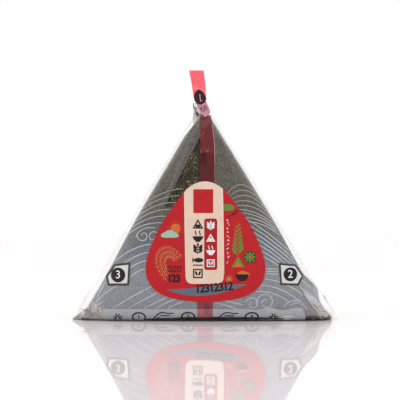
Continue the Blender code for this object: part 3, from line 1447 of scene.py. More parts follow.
@dataclass
class TearTape:
    """The red tape that runs up the front and down the back."""

    width: float = 6.2
    foot: float = 0.6
    top: float = 83.7
    lift: float = 0.09

    def edges(self) -> tuple[list[Point], list[Point]]:
        """The tape's left and right edges, from the foot up, with a slight sway.

        Returns:
            The two edges' points.
        """
        left, right = [], []
        steps = 60
        for step in range(steps + 1):
            z = self.foot + (self.top - self.foot) * step / steps
            width = self.width - 0.7 * smooth(z, 62.0, 76.0) - 1.1 * smooth(z, 76.0, 83.0)
            middle = 1.1 * smooth(z, 8.0, 50.0) - 0.8 * smooth(z, 70.0, 82.5)
            left.append((middle - 0.5 * width + 0.05 * mottled(z, 1.0, 0.0, 4.0), z))
            right.append((middle + 0.5 * width + 0.05 * mottled(z, 9.0, 0.0, 4.0), z))
        return left, right

    def build(self, film: FilmSurface, facing: Facing, material: Material) -> Piece:
        """Lays one run of the tape on the front or the back.

        Args:
            film: The surface to lie on.
            facing: The face of the pack.
            material: The tape's finish.

        Returns:
            The piece.
        """
        art = FlatArt()
        left, right = self.edges()
        for index in range(len(left) - 1):
            art.polygon((left[index], right[index], right[index + 1], left[index + 1]))
        name = f"tape_{facing.name.lower()}"
        piece = art.lay(name, film, material, self.lift, 0.05, 1.0, facing)
        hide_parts(f"tear_tape_{facing.name.lower()}")
        return piece

    def glints(self, film: FilmSurface, material: Material) -> Piece:
        """Lays small painted glints on the tape's upper part, and a painted glint along its right edge.

        Args:
            film: The surface to lie on.
            material: Their finish.

        Returns:
            The piece.
        """
        art = FlatArt()
        chance = random.Random(11)
        for low, high, count in ((66.0, 70.0, 9), (72.5, 80.0, 12)):
            for _ in range(count):
                x, z = -2.1 + 1.6 * chance.random() ** 2, chance.uniform(low, high)
                art.ribbon(((x, z), (x + chance.uniform(0.1, 0.35), z + chance.uniform(-0.15, 0.2))), 0.12)
        art.ribbon(bezier(((0.2, 68.6), (1.0, 69.0), (1.6, 68.9)), 8), 0.16, 0.5)
        _, right = self.edges()
        art.ribbon([(x - 0.12, z) for x, z in right if 53.0 < z < 80.0], 0.13)
        return art.lay("tape_glints", film, material, 0.16, 0.02)


@dataclass
class PullTab:
    """The tape's free end, which stands up from the apex, with its numbered disc."""

    path: tuple[tuple[float, float, float], ...] = (
        (-0.35, -6.3, 82.9),
        (0.1, -5.2, 84.3),
        (-0.35, -4.0, 86.2),
        (-1.5, -3.3, 88.9),
        (-2.1, -2.9, 91.7),
        (-2.6, -2.8, 96.5),
        (-3.5, -3.1, 102.15),
    )
    widths: tuple[float, ...] = (4.5, 4.5, 4.1, 4.1, 5.2, 5.6, 6.0)
    disc_share: float = 0.61
    sheet: float = 0.10 * MM

    def middle(self, share: float) -> Vector:
        """A point on the tab's middle line: a smooth curve through its path.

        Args:
            share: From 0 at its foot to 1 at its end.

        Returns:
            The point.
        """
        count = len(self.path) - 1
        place = min(max(share, 0.0), 1.0) * count
        index = min(int(place), count - 1)
        part = place - index
        near = [Vector(self.path[min(max(index + step, 0), count)]) for step in (-1, 0, 1, 2)]
        before, start, end, after = near
        curve = 2.0 * start + (end - before) * part
        curve += (2.0 * before - 5.0 * start + 4.0 * end - after) * part**2
        curve += (3.0 * start - before - 3.0 * end + after) * part**3
        return curve * 0.5 * MM

    def point(self, across: float, share: float, lift: float) -> Vector:
        """A point of the tab.

        Args:
            across: From -0.5 at its left edge to 0.5 at its right.
            share: From 0 at its foot to 1 at its end.
            lift: How far in front of the tab, in metres.

        Returns:
            The point in space.
        """
        ahead = self.middle(share + 0.02) - self.middle(share - 0.02)
        sideways = Vector((ahead.z, 0.0, -ahead.x)).normalized()
        sideways = sideways.lerp(Vector((1.0, 0.0, 0.0)), smooth(share, 0.8, 1.0))
        bow = 0.45 * MM * (4.0 * across * across) - 0.15 * MM
        forward = Vector((0.0, bow - lift, 0.0))
        return self.middle(share) + sideways * across * self.width(share) * MM + forward

    def width(self, share: float) -> float:
        """The tab's width here, in millimetres.

        Args:
            share: From 0 at its foot to 1 at its end.

        Returns:
            The width.
        """
        place = min(max(share, 0.0), 1.0) * (len(self.widths) - 1)
        index = min(int(place), len(self.widths) - 2)
        part = smooth(place - index, 0.0, 1.0)
        return self.widths[index] * (1.0 - part) + self.widths[index + 1] * part

    def build(self, material: Material, palette: Palette) -> list[Piece]:
        """Builds the tab, its disc, its figure and its small marks.

        Args:
            material: The tab's finish.
            palette: The printed colours.

        Returns:
            The pieces.
        """
        bm = bmesh.new()
        bmesh.ops.create_grid(bm, x_segments=14, y_segments=70, size=0.5)
        for vert in bm.verts:
            foot = 0.20 * min(1.0, abs(2.0 * vert.co.x - 0.05)) ** 0.75
            share = foot + (1.0 - foot) * (vert.co.y + 0.5)
            vert.co = self.point(vert.co.x, share, 0.0)
        close_slab(bm, lambda spot: spot + Vector((0.0, -self.sheet, 0.0)))
        tab = add_piece("pull_tab_film", bm, material)
        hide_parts("pull_tab")
        disc = FlatArt()
        disc.disc(0.0, 0.0, 2.7, 0.89, 122.0)
        figure = FlatArt()
        figure.numeral("1", 0.0, 0.0, 2.7, -3.0, 0.0)
        figure.ribbon(((-0.25, -1.25), (0.75, -1.1)), 0.3)
        marks = FlatArt()
        chance = random.Random(4)
        for index in range(12):
            x, y = -0.9 + 0.6 * (index % 4) + chance.uniform(-0.2, 0.2), -3.7 - 0.8 * (index // 4)
            marks.ribbon(((x, y), (x + chance.uniform(-0.5, 0.5), y - chance.uniform(0.3, 0.6))), 0.42)
        made = [tab]
        for name, art, finish, lift in (
            ("tab_disc", disc, ink("maroon_black", 50, 27, 32), 0.13),
            ("tab_figure", figure, ink("pink_figure", 205, 140, 150), 0.17),
            ("tab_marks", marks, palette.black, 0.13),
        ):
            made.append(self.print_on(name, art, finish, lift))
        return made

    def print_on(
        self, name: str, art: FlatArt, material: Material, lift: float
    ) -> Piece:
        """Lays a drawing on the tab, its middle at the disc's place.

        Args:
            name: The piece's name.
            art: The drawing, about the disc's middle.
            material: Its ink.
            lift: Its height off the tab, in millimetres.

        Returns:
            The piece.
        """
        art.cut_finely(0.8)
        stretch = self.middle(self.disc_share + 0.02) - self.middle(self.disc_share - 0.02)
        ahead = stretch.length / (0.04 * MM)
        for vert in art.bm.verts:
            share = self.disc_share + vert.co.y / ahead
            vert.co = self.point(vert.co.x / self.width(share), share, lift * MM)
        close_slab(art.bm, lambda spot: spot + Vector((0.0, -0.03 * MM, 0.0)))
        return add_piece(name, art.bm, material)


# ---------------- the sticker


@dataclass(frozen=True)
class FoodSign:
    """A small bold sign of food, added to a drawing about its own middle."""

    art: FlatArt
    x: float
    y: float
    size: float

    def at(self, dx: float, dy: float) -> Point:
        """A place in the drawing, given in shares of the sign's size from its middle."""
        return self.x + dx * self.size, self.y + dy * self.size

    def outline(self, *shares: Point) -> list[Point]:
        """Several such places."""
        return [self.at(dx, dy) for dx, dy in shares]

    def block(self, half: float, low: float, high: float) -> None:
        """Draws a block with slightly rounded corners, by its half width, its foot and its top."""
        (left, foot), (right, top) = self.at(-half, low), self.at(half, high)
        self.art.box(left, right, foot, top, 0.05 * self.size)

    def rice_ball(self) -> None:
        """Draws a rice ball's outline with its nori patch."""
        self.art.frame(self.outline((-1.0, -0.8), (1.0, -0.8), (0.0, 0.95)), 0.24 * self.size)
        self.block(0.42, -0.8, -0.05)

    def bowl(self) -> None:
        """Draws a bowl with two wisps of steam."""
        self.art.polygon(arc(*self.at(0.0, 0.05), 0.95 * self.size, 180.0, 360.0, 16))
        self.block(0.4, -1.0, -0.78)
        for dx in (-0.4, 0.35):
            wisp = self.outline((dx, 0.2), (dx + 0.3, 0.6), (dx - 0.3, 0.7), (dx, 1.05))
            self.art.ribbon(bezier(wisp, 8), 0.2 * self.size)

    def wheat(self) -> None:
        """Draws an ear of grain."""
        self.art.ribbon(self.outline((0.0, -1.0), (0.0, 0.5)), 0.17 * self.size)
        self.art.disc(*self.at(0.0, 0.7), 0.36 * self.size, 0.5, 90.0)
        for height in (-0.45, 0.0, 0.42):
            for hand in (-1, 1):
                self.art.disc(*self.at(0.5 * hand, height), 0.46 * self.size, 0.42, hand * 40.0)

    def fish(self) -> None:
        """Draws a fish with a tail, on a plate's line."""
        self.art.disc(*self.at(0.15, 0.15), 0.85 * self.size, 0.48)
        self.art.polygon(self.outline((-0.55, 0.15), (-1.0, 0.65), (-1.0, -0.35)))
        self.art.ribbon(self.outline((-0.9, -0.75), (0.9, -0.75)), 0.2 * self.size)

    def grain_box(self) -> None:
        """Draws a square dish with two grains in it."""
        self.art.frame(self.outline((-1.0, -1.0), (1.0, -1.0), (1.0, 0.9), (-1.0, 0.9)), 0.26 * self.size)
        for hand in (-1, 1):
            self.art.disc(*self.at(0.34 * hand, 0.0), 0.5 * self.size, 0.42, 90.0 - 22.0 * hand)


class LabelArt(FlatArt):
    """A drawing of one of the things printed on the label."""

    slice_middle: Point = (18.0, 25.9)

    def panel_block(self) -> None:
        """The plain red block near the panel's top."""
        self.box(-4.7, 3.3, 43.6, 53.2, 0.25)

    def panel_strip(self) -> None:
        """The red strip on the panel's right."""
        self.box(-0.3, 4.9, 20.8, 41.4, 1.0)

    def pictograms(self) -> None:
        """Five bold food signs in a column."""
        signs = (FoodSign.rice_ball, FoodSign.bowl, FoodSign.wheat, FoodSign.fish, FoodSign.grain_box)
        for index, sign in enumerate(signs):
            sign(FoodSign(self, -2.85, 39.1 - 4.9 * index, 2.2 if index < 4 else 1.95))

    def strip_signs(self) -> None:
        """Four small pale food signs on the red strip."""
        signs = (FoodSign.wheat, FoodSign.rice_ball, FoodSign.bowl, FoodSign.grain_box)
        for index, sign in enumerate(signs):
            sign(FoodSign(self, 2.3, 38.6 - 5.0 * index, 1.85 if index < 3 else 1.6))

    def sun(self) -> None:
        """A small sun with short rays."""
        x, y = -11.8, 37.4
        self.disc(x, y, 2.0)
        for step in range(11):
            angle = math.radians(-30.0 + step * 24.0)
            across, up = math.cos(angle), math.sin(angle)
            self.ribbon(((x + 2.5 * across, y + 2.5 * up), (x + 3.4 * across, y + 3.3 * up)), 0.15)

    def cloud(self) -> None:
        """A flat-bottomed cloud in front of the sun."""
        top = [*arc(-11.9, 34.3, 1.4, 0.0, 80.0, 6), *arc(-14.2, 34.6, 2.2, 50.0, 130.0, 8)]
        top += arc(-16.5, 34.3, 1.3, 100.0, 180.0, 6)
        bottom = [(-17.2, 33.9), (-16.0, 33.7), (-12.2, 33.7), (-10.9, 33.9)]
        self.polygon([*top, *bottom])

    def rice_ear(self) -> None:
        """Bent ears of rice along three nested curves, and a few crossed stalks near the label's foot."""
        for strand, reach in enumerate((0.0, 2.0, 4.0)):
            control = (
                (-9.2 - 0.7 * reach, 25.6 - 0.3 * reach),
                (-12.5, 31.6 - 1.1 * reach),
                (-19.6 + 0.8 * reach, 32.4 - 1.3 * reach),
                (-22.4 + 1.2 * reach, 26.2),
                (-19.6 + 0.9 * reach, 20.0),
                (-14.4 + 0.1 * reach, 15.8 + 0.9 * reach),
            )
            stem = bezier(control, 17 - 2 * strand)
            self.ribbon(stem, 0.10)
            for index in range(1, len(stem) - 1):
                (x0, y0), (x1, y1) = stem[index - 1], stem[index]
                heading = math.atan2(y1 - y0, x1 - x0)
                for hand in (-1, 1):
                    lean = heading + math.pi - hand * 0.62
                    tip = (x1 + 1.3 * math.cos(lean), y1 + 1.3 * math.sin(lean))
                    self.ribbon(((x1, y1), tip), 0.13)
        for angle in range(0, 180, 36):
            across, up = 1.6 * math.cos(math.radians(angle)), 1.5 * math.sin(math.radians(angle))
            self.ribbon(((9.6 - across, 17.2 - up), (9.6 + across, 17.2 + up)), 0.16)

    def bars(self) -> None:
        """Plain figures and boxes where such a label states its weight and its date."""
        for index in range(3):
            left = -15.0 + 1.95 * index
            self.frame(((left, 20.0), (left + 1.5, 20.0), (left + 1.5, 22.4), (left, 22.4)), 0.3)
            self.numeral(str(index + 1), -14.2 + 1.7 * index, 17.3, 2.9, 0.0, 0.06)
        for index in range(8):
            self.numeral(str(index % 3 + 1), -2.9 + 1.87 * index, 13.1 + 0.16 * index, 3.3, 4.0, 0.036)

    def dot_column(self) -> None:
        """A column of tiny pale marks beside the panel."""
        chance = random.Random(7)
        for index in range(11):
            y = 41.0 - 1.68 * index
            for _ in range(3):
                x, z = 9.1 + chance.uniform(-0.5, 0.3), y + chance.uniform(-0.5, 0.5)
                self.ribbon(((x, z), (x + chance.uniform(0.3, 0.7), z + chance.uniform(-0.4, 0.4))), 0.2)

    def leaves(self) -> None:
        """A sprig of leaves and a small green peak."""
        stem = bezier(((13.3, 25.6), (13.1, 33.0), (13.3, 39.8)), 8)
        self.ribbon(stem, 0.2)
        for index in range(7):
            y = 28.6 + 1.62 * index
            size = 1.6 - 0.15 * index
            for hand in (-1, 1):
                height = y + 0.35 * hand
                self.disc(13.2 + hand * 0.82 * size, height, size, 0.34, 90.0 - hand * 36.0)
        self.polygon(((13.3, 26.1), (10.6, 21.9), (11.5, 21.9), (13.3, 24.2), (15.1, 21.9), (16.0, 21.9)))

    def half_leaf(self) -> None:
        """Half a broad leaf that comes out from behind the panel."""
        edge = ((7.3, 44.7), (10.0, 44.1), (13.6, 45.0), (13.4, 46.0), (9.8, 48.2), (7.3, 46.9))
        self.polygon(bezier(edge, 16))

    def pod(self) -> None:
        """A thin dark pod under the leaf."""
        self.ribbon(bezier(((8.8, 42.0), (11.4, 42.8), (14.0, 44.9)), 8), 0.45, 0.6)
        for x, y, turn in ((11.2, 43.5, 50.0), (12.5, 44.5, 60.0), (12.0, 43.2, 10.0)):
            self.disc(x, y, 0.5, 0.5, turn)

    def orange_food(self) -> None:
        """The filling of the green peak, the slice's heart, and a swirl of orange food above a dark bowl."""
        self.polygon(((11.5, 21.9), (15.1, 21.9), (13.3, 24.2)))
        self.disc(*self.slice_middle, 0.5)
        swirl = ((13.0, 19.3), (15.0, 22.4), (16.8, 18.6), (20.6, 20.2), (18.0, 17.6), (14.4, 18.0))
        self.polygon(bezier(swirl, 18))

    def dark_food(self) -> None:
        """The dark bowl."""
        self.polygon(arc(14.9, 18.8, 2.5, 180.0, 360.0, 16))
        self.ribbon(((12.2, 18.9), (17.6, 18.9)), 0.36)

    def slice_ground(self) -> None:
        """The dark ground of a round vegetable slice."""
        self.disc(*self.slice_middle, 2.5)

    def slice_petals(self) -> None:
        """The slice's green segments."""
        for index, (x, y) in enumerate(arc(*self.slice_middle, 1.4, 0.0, 315.0, 7)):
            self.disc(x, y, 0.88, 0.46, 45.0 * index)

    def crescent(self) -> None:
        """The blue-grey sweep along the label's foot."""
        upper = bezier(((-15.4, 13.2), (-6.0, 12.9), (4.0, 15.2), (17.2, 15.2)), 18)
        lower = bezier(((17.2, 15.2), (9.0, 11.6), (-5.0, 7.8), (-15.4, 13.2)), 18)
        self.polygon([*upper, *lower[1:-1]])


@dataclass
class Sticker:
    """The red label: a rounded triangle with a cream panel and small printed motifs of food."""

    middle: Point = (0.2, 28.6)
    mean_radius: float = 22.9
    corner_swell: float = 2.7
    corner_round: float = 0.4
    apex_rise: float = 1.7
    lift: float = 0.17
    paper: float = 0.09
    print_sheet: float = 0.02
    print_step: float = 1.5
    panel_overlap: float = 0.12

    def outline(self) -> list[Point]:
        """The label's edge.

        Returns:
            The edge's points.
        """
        made = []
        steps = 120
        for step in range(steps):
            turned = 2.0 * math.pi * step / steps
            reach = self.mean_radius
            reach += self.corner_swell * math.cos(3.0 * turned)
            reach += self.corner_round * math.cos(6.0 * turned)
            reach += self.apex_rise * max(0.0, math.cos(turned - 0.045)) ** 12
            x = self.middle[0] - reach * math.sin(turned)
            made.append((x, self.middle[1] + reach * math.cos(turned)))
        return made

    def build(self, film: FilmSurface, palette: Palette) -> None:
        """Lays the label and everything printed on it.

        Args:
            film: The surface to lie on.
            palette: The printed colours.
        """
        paper = FlatArt()
        paper.polygon(self.outline())
        label = paper.lay("sticker", film, palette.red, self.lift, self.paper, 1.2)
        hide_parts("label")
        level = self.lift + self.paper + 0.02
        layers: list[tuple[str, Callable[[LabelArt], None], Material, float]] = [
            ("sticker_panel", self.panel, palette.cream, 0.0),
            ("sticker_crescent", LabelArt.crescent, palette.steel, 0.0),
            ("panel_edge", self.panel_edge, palette.white, 0.04),
            ("panel_block", LabelArt.panel_block, palette.red, 0.04),
            ("panel_strip", LabelArt.panel_strip, palette.deep_red, 0.04),
            ("panel_pictograms", LabelArt.pictograms, palette.black, 0.04),
            ("strip_signs", LabelArt.strip_signs, palette.white, 0.08),
            ("sun", LabelArt.sun, palette.orange, 0.01),
            ("cloud", LabelArt.cloud, palette.mint, 0.05),
            ("rice_ear", LabelArt.rice_ear, palette.gold, 0.0),
            ("label_bars", LabelArt.bars, palette.black, 0.05),
            ("dot_column", LabelArt.dot_column, palette.white, 0.0),
            ("leaves", LabelArt.leaves, palette.green, 0.0),
            ("half_leaf", LabelArt.half_leaf, palette.green, 0.0),
            ("pod", LabelArt.pod, palette.brown, 0.01),
            ("orange_food", LabelArt.orange_food, palette.orange, 0.04),
            ("dark_food", LabelArt.dark_food, palette.black, 0.06),
            ("slice_ground", LabelArt.slice_ground, palette.moss, 0.0),
            ("slice_petals", LabelArt.slice_petals, palette.green, 0.04),
        ]
        for name, draw, material, rise in layers:
            art = LabelArt()
            draw(art)
            art.lay(name, film, material, level + rise, self.print_sheet, self.print_step)

    def panel(self, art: FlatArt) -> None:
        """The cream panel: straight sides, a rounded foot, and the label's own arched top.

        Args:
            art: The drawing to add to.
        """
        arch = [(x, z + self.panel_overlap) for x, z in self.outline() if -8.3 < x < 7.1 and z > 45.0]
        arch.sort(reverse=True)
        side = [self.meet(7.2), *arch, self.meet(-8.4)]
        left = bezier(((-7.8, 18.5), (-7.7, 15.4), (-5.2, 15.3)), 8)
        right = bezier(((4.8, 15.3), (7.5, 15.4), (7.5, 18.5)), 8)
        art.polygon([*side, *left, *right])

    def meet(self, x: float) -> Point:
        """Where the label's upper edge crosses this x.

        Args:
            x: The place across.

        Returns:
            The crossing.
        """
        upper = [point for point in self.outline() if point[1] > 40.0]
        nearest = min(upper, key=lambda point: abs(point[0] - x))
        return x, nearest[1] + self.panel_overlap

    def panel_edge(self, art: FlatArt) -> None:
        """The thin pale edges of the panel: over its arched top and down both sides.

        Args:
            art: The drawing to add to.
        """
        arch = [(x, z - 0.05) for x, z in self.outline() if -3.0 < x < 7.1 and z > 45.0]
        side = [(7.15 + 0.014 * (52.0 - z), z) for z in range(51, 18, -2)]
        art.ribbon([*sorted(arch), *side], 0.28, 0.5)
        art.ribbon([(-8.35 + 0.018 * (52.0 - z), z) for z in range(52, 18, -2)], 0.2, 0.3)


# ---------------- film's own print


@dataclass
class StepMarker:
    """A numbered sign near a lower corner, pointing outwards."""

    figure: str
    middle: Point
    corners: tuple[Point, ...]
    edge_width: float = 0.8
    radius: float = 2.75
    figure_size: float = 3.2
    lift: float = 0.07
    layer: float = 0.04
    sheet: float = 0.02
    cut: float = 0.7

    def build(self, film: FilmSurface, palette: Palette) -> None:
        """Lays the sign's field, edge, disc and figure.

        Args:
            film: The surface to lie on.
            palette: The printed colours.
        """
        ground, edge, disc, figure = FlatArt(), FlatArt(), FlatArt(), FlatArt()
        ground.polygon(self.corners)
        edge.frame(self.corners, self.edge_width)
        disc.disc(*self.middle, self.radius)
        figure.numeral(self.figure, *self.middle, self.figure_size, 0.0, 0.008)
        for part, art, finish, level in (
            ("field", ground, palette.pale, 0),
            ("edge", edge, palette.olive, 1),
            ("disc", disc, palette.black, 1),
            ("figure", figure, palette.white, 2),
        ):
            lift = self.lift + level * self.layer
            art.lay(f"marker_{self.figure}_{part}", film, finish, lift, self.sheet, self.cut)


@dataclass(frozen=True)
class Sweep:
    """A family of wave lines between a first and a last curve."""

    first: tuple[Point, ...]
    last: tuple[Point, ...]
    count: int
    front_only: bool = False

    def lines(self) -> list[list[Point]]:
        """Every line of the family.

        Returns:
            The lines' points.
        """
        made = []
        for index in range(self.count):
            share = index / max(self.count - 1, 1)
            control = [between(near, far, share) for near, far in zip(self.first, self.last)]
            made.append(bezier(control, 22))
        return made


@dataclass
class WavePrint:
    """Thin pale lines that sweep over the lower film like water, with a few scrolls."""

    width: float = 0.42
    margin: float = 2.0
    low_margin: float = 1.5
    sweeps: tuple[Sweep, ...] = (
        Sweep(((-31.0, 41.8), (-19.0, 53.4), (-8.6, 53.4)), ((-31.4, 34.6), (-25.0, 40.4), (-16.6, 39.6)), 6),
        Sweep(
            ((-37.0, 23.6), (-29.6, 30.2), (-21.6, 31.2)), ((-30.0, 18.0), (-27.0, 20.6), (-23.8, 21.4)), 4
        ),
        Sweep(((-43.2, 9.8), (-42.4, 12.6), (-40.0, 15.9)), ((-44.6, 7.0), (-41.4, 11.0), (-35.4, 14.5)), 2),
        Sweep(((-44.4, 5.6), (-43.2, 6.8), (-41.2, 8.0)), ((-44.0, 5.2), (-42.0, 6.0), (-40.6, 6.6)), 1),
        Sweep(((-36.8, 5.6), (-29.0, 10.6), (-21.4, 14.2)), ((-24.6, 5.4), (-19.0, 8.2), (-13.8, 10.8)), 3),
        Sweep(((-19.6, 5.6), (-15.0, 8.2), (-11.4, 9.4)), ((-14.8, 5.4), (-11.6, 7.4), (-8.4, 8.4)), 2),
        Sweep(((8.6, 50.8), (14.6, 60.0), (22.4, 49.4)), ((12.0, 45.2), (20.4, 45.2), (27.4, 39.8)), 6),
        Sweep(
            ((13.6, 43.8), (22.0, 43.6), (28.6, 37.6)), ((16.0, 40.0), (23.0, 40.6), (30.0, 34.8)), 3, True
        ),
        Sweep(((16.4, 41.4), (27.0, 35.4), (39.6, 23.4)), ((23.6, 26.0), (26.6, 24.6), (29.6, 22.6)), 7),
        Sweep(((24.2, 17.2), (33.0, 16.4), (42.2, 8.6)), ((20.4, 12.2), (28.0, 12.6), (33.6, 8.0)), 3),
        Sweep(
            ((24.6, 21.2), (26.6, 21.3), (29.2, 21.1)), ((24.4, 19.2), (26.6, 19.3), (29.4, 19.0)), 3, True
        ),
        Sweep(
            ((40.7, 18.0), (41.6, 17.2), (42.6, 16.0)), ((38.9, 16.5), (41.0, 14.9), (43.3, 12.9)), 2, True
        ),
        Sweep(
            ((-28.0, 33.6), (-26.4, 38.6), (-20.0, 37.6)), ((-28.6, 32.0), (-27.0, 36.0), (-24.0, 38.0)), 1
        ),
        Sweep(((4.0, 7.9), (9.0, 6.6), (14.0, 4.8)), ((7.0, 9.0), (11.0, 7.8), (15.2, 7.0)), 2),
        Sweep(
            ((31.6, 6.0), (34.2, 9.5), (39.2, 9.8), (40.8, 4.8)),
            ((34.2, 6.6), (36.0, 8.1), (38.0, 8.0), (39.6, 6.0)), 2,
        ),
    )
    scrolls: tuple[tuple[float, float, float, float, float, int], ...] = (
        (-24.9, 34.5, 2.6, 150.0, 1.1, 1),
        (-20.8, 34.0, 2.4, 40.0, 0.9, 1),
        (24.4, 8.0, 3.8, 200.0, 1.4, -1),
        (19.0, 7.2, 2.9, 170.0, 1.2, -1),
        (31.0, 42.2, 1.5, 60.0, 0.9, 1),
    )

    def keep(self, line: list[Point], form: PackForm) -> list[Point]:
        """The part of a line that lies on the face, clear of its slanting edges.

        Args:
            line: The line's points.
            form: The pack's form.

        Returns:
            The points kept.
        """
        kept = []
        for x, z in line:
            reach = form.half_width(z * MM) / MM - self.margin - self.low_margin * smooth(z, 46.0, 14.0)
            if abs(x - form.centre_x(z * MM) / MM) < reach:
                kept.append((x, z))
        return kept

    def build(self, film: FilmSurface, palette: Palette, facing: Facing) -> Piece:
        """Lays all lines of one face as one piece.

        Args:
            film: The surface to lie on.
            palette: The printed colours.
            facing: The face of the pack.

        Returns:
            The piece.
        """
        art = FlatArt()
        shown = [sweep for sweep in self.sweeps if facing is Facing.FRONT or not sweep.front_only]
        lines = [line for sweep in shown for line in sweep.lines()]
        lines += [scroll(*values) for values in self.scrolls]
        for line in lines:
            kept = self.keep(line, film.form)
            if len(kept) > 2:
                art.ribbon(kept, self.width, 0.35)
        return art.lay(f"waves_{facing.name.lower()}", film, palette.wave, 0.03, 0.02, 3.0, facing)


@dataclass
class FootBand:
    """The lighter strip that turns under the pack's foot, with plain step signs half hidden by the turn."""

    left: float = -41.0
    right: float = 40.6
    top: float = 5.2
    foot: float = 0.35

    def strip(self) -> FlatArt:
        """The strip, its upper edge wavy towards the right.

        Returns:
            The drawing.
        """
        art = FlatArt()
        steps = 60
        upper = []
        for step in range(steps + 1):
            x = self.right + (self.left - self.right) * step / steps
            wave = 0.5 * math.sin(x * 0.55) * smooth(x, 12.0, 24.0)
            end = 3.0 * smooth(x, self.right - 1.4, self.right)
            upper.append((x, self.top + wave - end))
        art.polygon([(self.left, self.foot), (self.right, self.foot), *upper])
        return art

    @staticmethod
    def signs() -> FlatArt:
        """Flattened rings with a number inside, simple pointing hands, and a burst of strokes at each end.

        Returns:
            The drawing.
        """
        art = FlatArt()
        for index, x in enumerate((-26.6, -6.8, 18.8)):
            circle = arc(0.0, 0.0, 1.0, -40.0, 220.0, 26)
            art.ribbon([(x + 2.6 * across, 1.8 + 1.9 * up) for across, up in circle], 0.62)
            art.numeral(str(index + 1), x, 1.9, 1.7, 0.0, 0.05)
        for x in (-16.8, 9.2):
            art.ribbon(bezier(((x - 4.4, 0.6), (x - 3.0, 2.2), (x - 1.8, 4.0), (x + 0.2, 3.8)), 10), 0.5)
            art.ribbon(bezier(((x + 0.2, 3.8), (x + 2.0, 3.2), (x + 4.2, 3.5)), 8), 0.45)
            art.ribbon(bezier(((x - 1.2, 2.7), (x + 0.6, 2.2), (x + 2.6, 2.6)), 8), 0.4)
            art.ribbon(bezier(((x - 2.8, 0.5), (x - 2.4, 1.6), (x - 1.2, 1.9)), 8), 0.4)
        for x in (-35.2, 27.6):
            for dx, dz in ((-1.7, 1.9), (-0.7, 3.1), (0.7, 3.0), (1.8, 1.9), (-1.5, 0.6), (1.6, 0.6)):
                art.ribbon(((x + 0.3 * dx, 1.6 + 0.2 * (dz - 1.6)), (x + dx, dz + 0.2)), 0.85, 0.4)
        return art

    def build(self, film: FilmSurface, palette: Palette, facing: Facing) -> None:
        """Lays the strip, its signs, and two lines of painted shade where the strip turns under the foot.

        Args:
            film: The surface to lie on.
            palette: The printed colours.
            facing: The face of the pack.
        """
        suffix = facing.name.lower()
        self.strip().lay(f"foot_band_{suffix}", film, palette.band, 0.05, 0.02, 0.8, facing)
        self.signs().lay(f"foot_signs_{suffix}", film, palette.black, 0.08, 0.02, 0.7, facing)
        # Painted shade: two dark see-through lines along the foot darken the strip and the signs' lower parts
        # where it turns under.
        shadow = ClearFilm("foot_painted_shade", linear(50, 42, 44), 0.28, 0.50).material()
        for name, middle, width, lift in (("wide", 1.3, 1.5, 0.13), ("narrow", 1.05, 0.8, 0.17)):
            turn = FlatArt()
            turn.ribbon([(x, middle - 0.0004 * (x - 12.0) ** 2) for x in range(-24, 34, 2)], width, 0.8)
            turn.lay(f"foot_painted_shade_{name}_{suffix}", film, shadow, lift, 0.02, 1.0, facing)


# ---------------- the studio


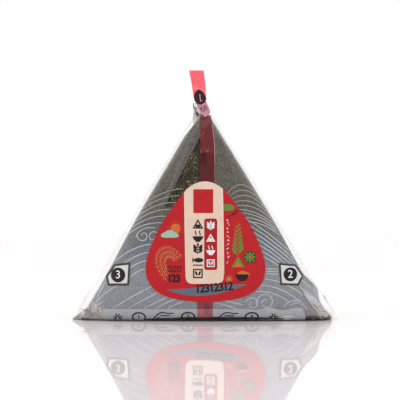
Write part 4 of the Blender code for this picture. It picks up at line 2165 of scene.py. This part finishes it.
@dataclass
class Studio:
    """A white glossy table in a white room, and the camera level with the pack's middle."""

    camera_distance: float = 483.0 * MM
    camera_height: float = 48.9 * MM
    camera_x: float = -2.0 * MM
    front_y: float = -16.5 * MM
    focal_length: float = 108.7

    def build(self) -> None:
        """Builds the floor, the light and the camera."""
        self.floor()
        self.room()
        self.lamps()
        self.camera()
        bpy.context.scene.view_settings.view_transform = "Standard"

    @staticmethod
    def floor() -> None:
        """A large white glossy floor."""
        bm = bmesh.new()
        bmesh.ops.create_grid(bm, x_segments=1, y_segments=1, size=6.0)
        mesh = bpy.data.meshes.new("floor")
        bm.to_mesh(mesh)
        bm.free()
        shade = Shade("white_table")
        shade.put("Base Color", (0.93, 0.865, 0.88))
        shade.put("Roughness", 0.03)
        mesh.materials.append(shade.material)
        floor = bpy.data.objects.new("floor", mesh)
        bpy.context.scene.collection.objects.link(floor)

    @staticmethod
    def room() -> None:
        """White light from all round, weaker from the front, so that the front shows its own colours."""
        world = bpy.data.worlds.new("white_room")
        bpy.context.scene.world = world
        world.use_nodes = True
        tree = world.node_tree
        ground = tree.nodes["Background"]
        ground.inputs["Color"].default_value = (1.0, 1.0, 1.0, 1.0)
        direction = tree.nodes.new("ShaderNodeTexCoord").outputs["Generated"]
        split = tree.nodes.new("ShaderNodeSeparateXYZ")
        tree.links.new(direction, split.inputs["Vector"])
        fall = tree.nodes.new("ShaderNodeMapRange")
        fall.interpolation_type = "SMOOTHSTEP"
        for name, value in (("From Min", -0.55), ("From Max", -0.97), ("To Min", 1.0), ("To Max", 0.75)):
            fall.inputs[name].default_value = value
        tree.links.new(split.outputs["Y"], fall.inputs["Value"])
        seen = tree.nodes.new("ShaderNodeLightPath").outputs["Is Camera Ray"]
        choose = tree.nodes.new("ShaderNodeMix")
        choose.data_type = "FLOAT"
        choose.inputs[3].default_value = 1.0
        tree.links.new(seen, choose.inputs[0])
        tree.links.new(fall.outputs["Result"], choose.inputs[2])
        tree.links.new(choose.outputs[0], ground.inputs["Strength"])

    @staticmethod
    def lamps() -> None:
        """Soft boxes above and to both sides."""
        for name, place, aim, size, power in (
            ("top_box", (0.0, -0.25, 0.9), (0.0, 0.0, 0.03), 0.8, 1.6),
            ("left_box", (-0.8, -0.35, 0.45), (0.0, 0.0, 0.04), 0.5, 0.9),
            ("right_box", (0.8, -0.35, 0.45), (0.0, 0.0, 0.04), 0.5, 0.6),
        ):
            light = bpy.data.lights.new(name, "AREA")
            light.shape = "SQUARE"
            light.size = size
            light.energy = power
            lamp = bpy.data.objects.new(name, light)
            lamp.location = place
            lamp.rotation_euler = (Vector(aim) - Vector(place)).to_track_quat("-Z", "Y").to_euler()
            bpy.context.scene.collection.objects.link(lamp)

    def camera(self) -> None:
        """The level camera, in front of the pack."""
        data = bpy.data.cameras.new("camera")
        data.lens = self.focal_length
        data.sensor_width = 36.0
        data.clip_start = 0.01
        camera = bpy.data.objects.new("camera", data)
        camera.location = (self.camera_x, self.front_y - self.camera_distance, self.camera_height)
        camera.rotation_euler = (math.radians(90.0), 0.0, 0.0)
        bpy.context.scene.collection.objects.link(camera)
        bpy.context.scene.camera = camera


def main() -> None:
    """Builds the pack's assemblies in order, then the studio."""
    logging.basicConfig(level=logging.INFO, format="%(name)s: %(message)s")
    palette = Palette()
    NoriCore().build()
    film = FilmShell().build()
    flap_span = (9.0 * MM, 26.0 * MM, 62.0 * MM, 79.0 * MM)
    loose = ClearFilm("loose_film", (0.94, 0.93, 0.91), 0.01, 0.06, span=flap_span).material()
    root = (45.0 * MM, 48.5 * MM)
    ends = (46.5 * MM, 50.5 * MM)
    gathered = {
        Side.LEFT: ClearFilm("gathered_left", linear(200, 194, 186), 0.35, 0.9, root=root),
        Side.RIGHT: ClearFilm("gathered_right", linear(214, 210, 204), 0.35, 0.85, ends=ends, root=root),
    }
    crest = ClearFilm("crest_film", (0.88, 0.87, 0.85), 0.15, 0.55, (0.06, 0.06, 0.05)).material()
    for side in Side:
        SideFlap(side).build(film, loose)
        CornerGather(side).build(gathered[side].material())
    CornerFolds().build(film)
    apex = ApexGather()
    apex.build(crest)
    apex.print_marks(palette.black, ink("crest_fold", 104, 102, 88, 0.3, 0.3))
    tape = TapeFinish().material()
    # The tape's painted glints, in pale pink.
    TearTape().glints(film, ink("painted_tape_glint", 206, 156, 154))
    for facing in Facing:
        TearTape().build(film, facing, tape)
        WavePrint().build(film, palette, facing)
        FootBand().build(film, palette, facing)
    PullTab().build(TabFinish().material(), palette)
    Sticker().build(film, palette)
    left_sign = ((-36.6, 23.0), (-40.1, 18.2), (-39.1, 14.4), (-30.4, 14.6), (-29.9, 23.8))
    right_sign = ((29.7, 23.6), (30.2, 14.8), (37.7, 14.5), (39.7, 18.3), (36.7, 22.8))
    StepMarker("3", (-35.0, 18.7), left_sign, 0.85, 2.95).build(film, palette)
    StepMarker("2", (34.35, 18.95), right_sign, 0.75).build(film, palette)
    Studio().build()


if __name__ == "__main__":
    main()
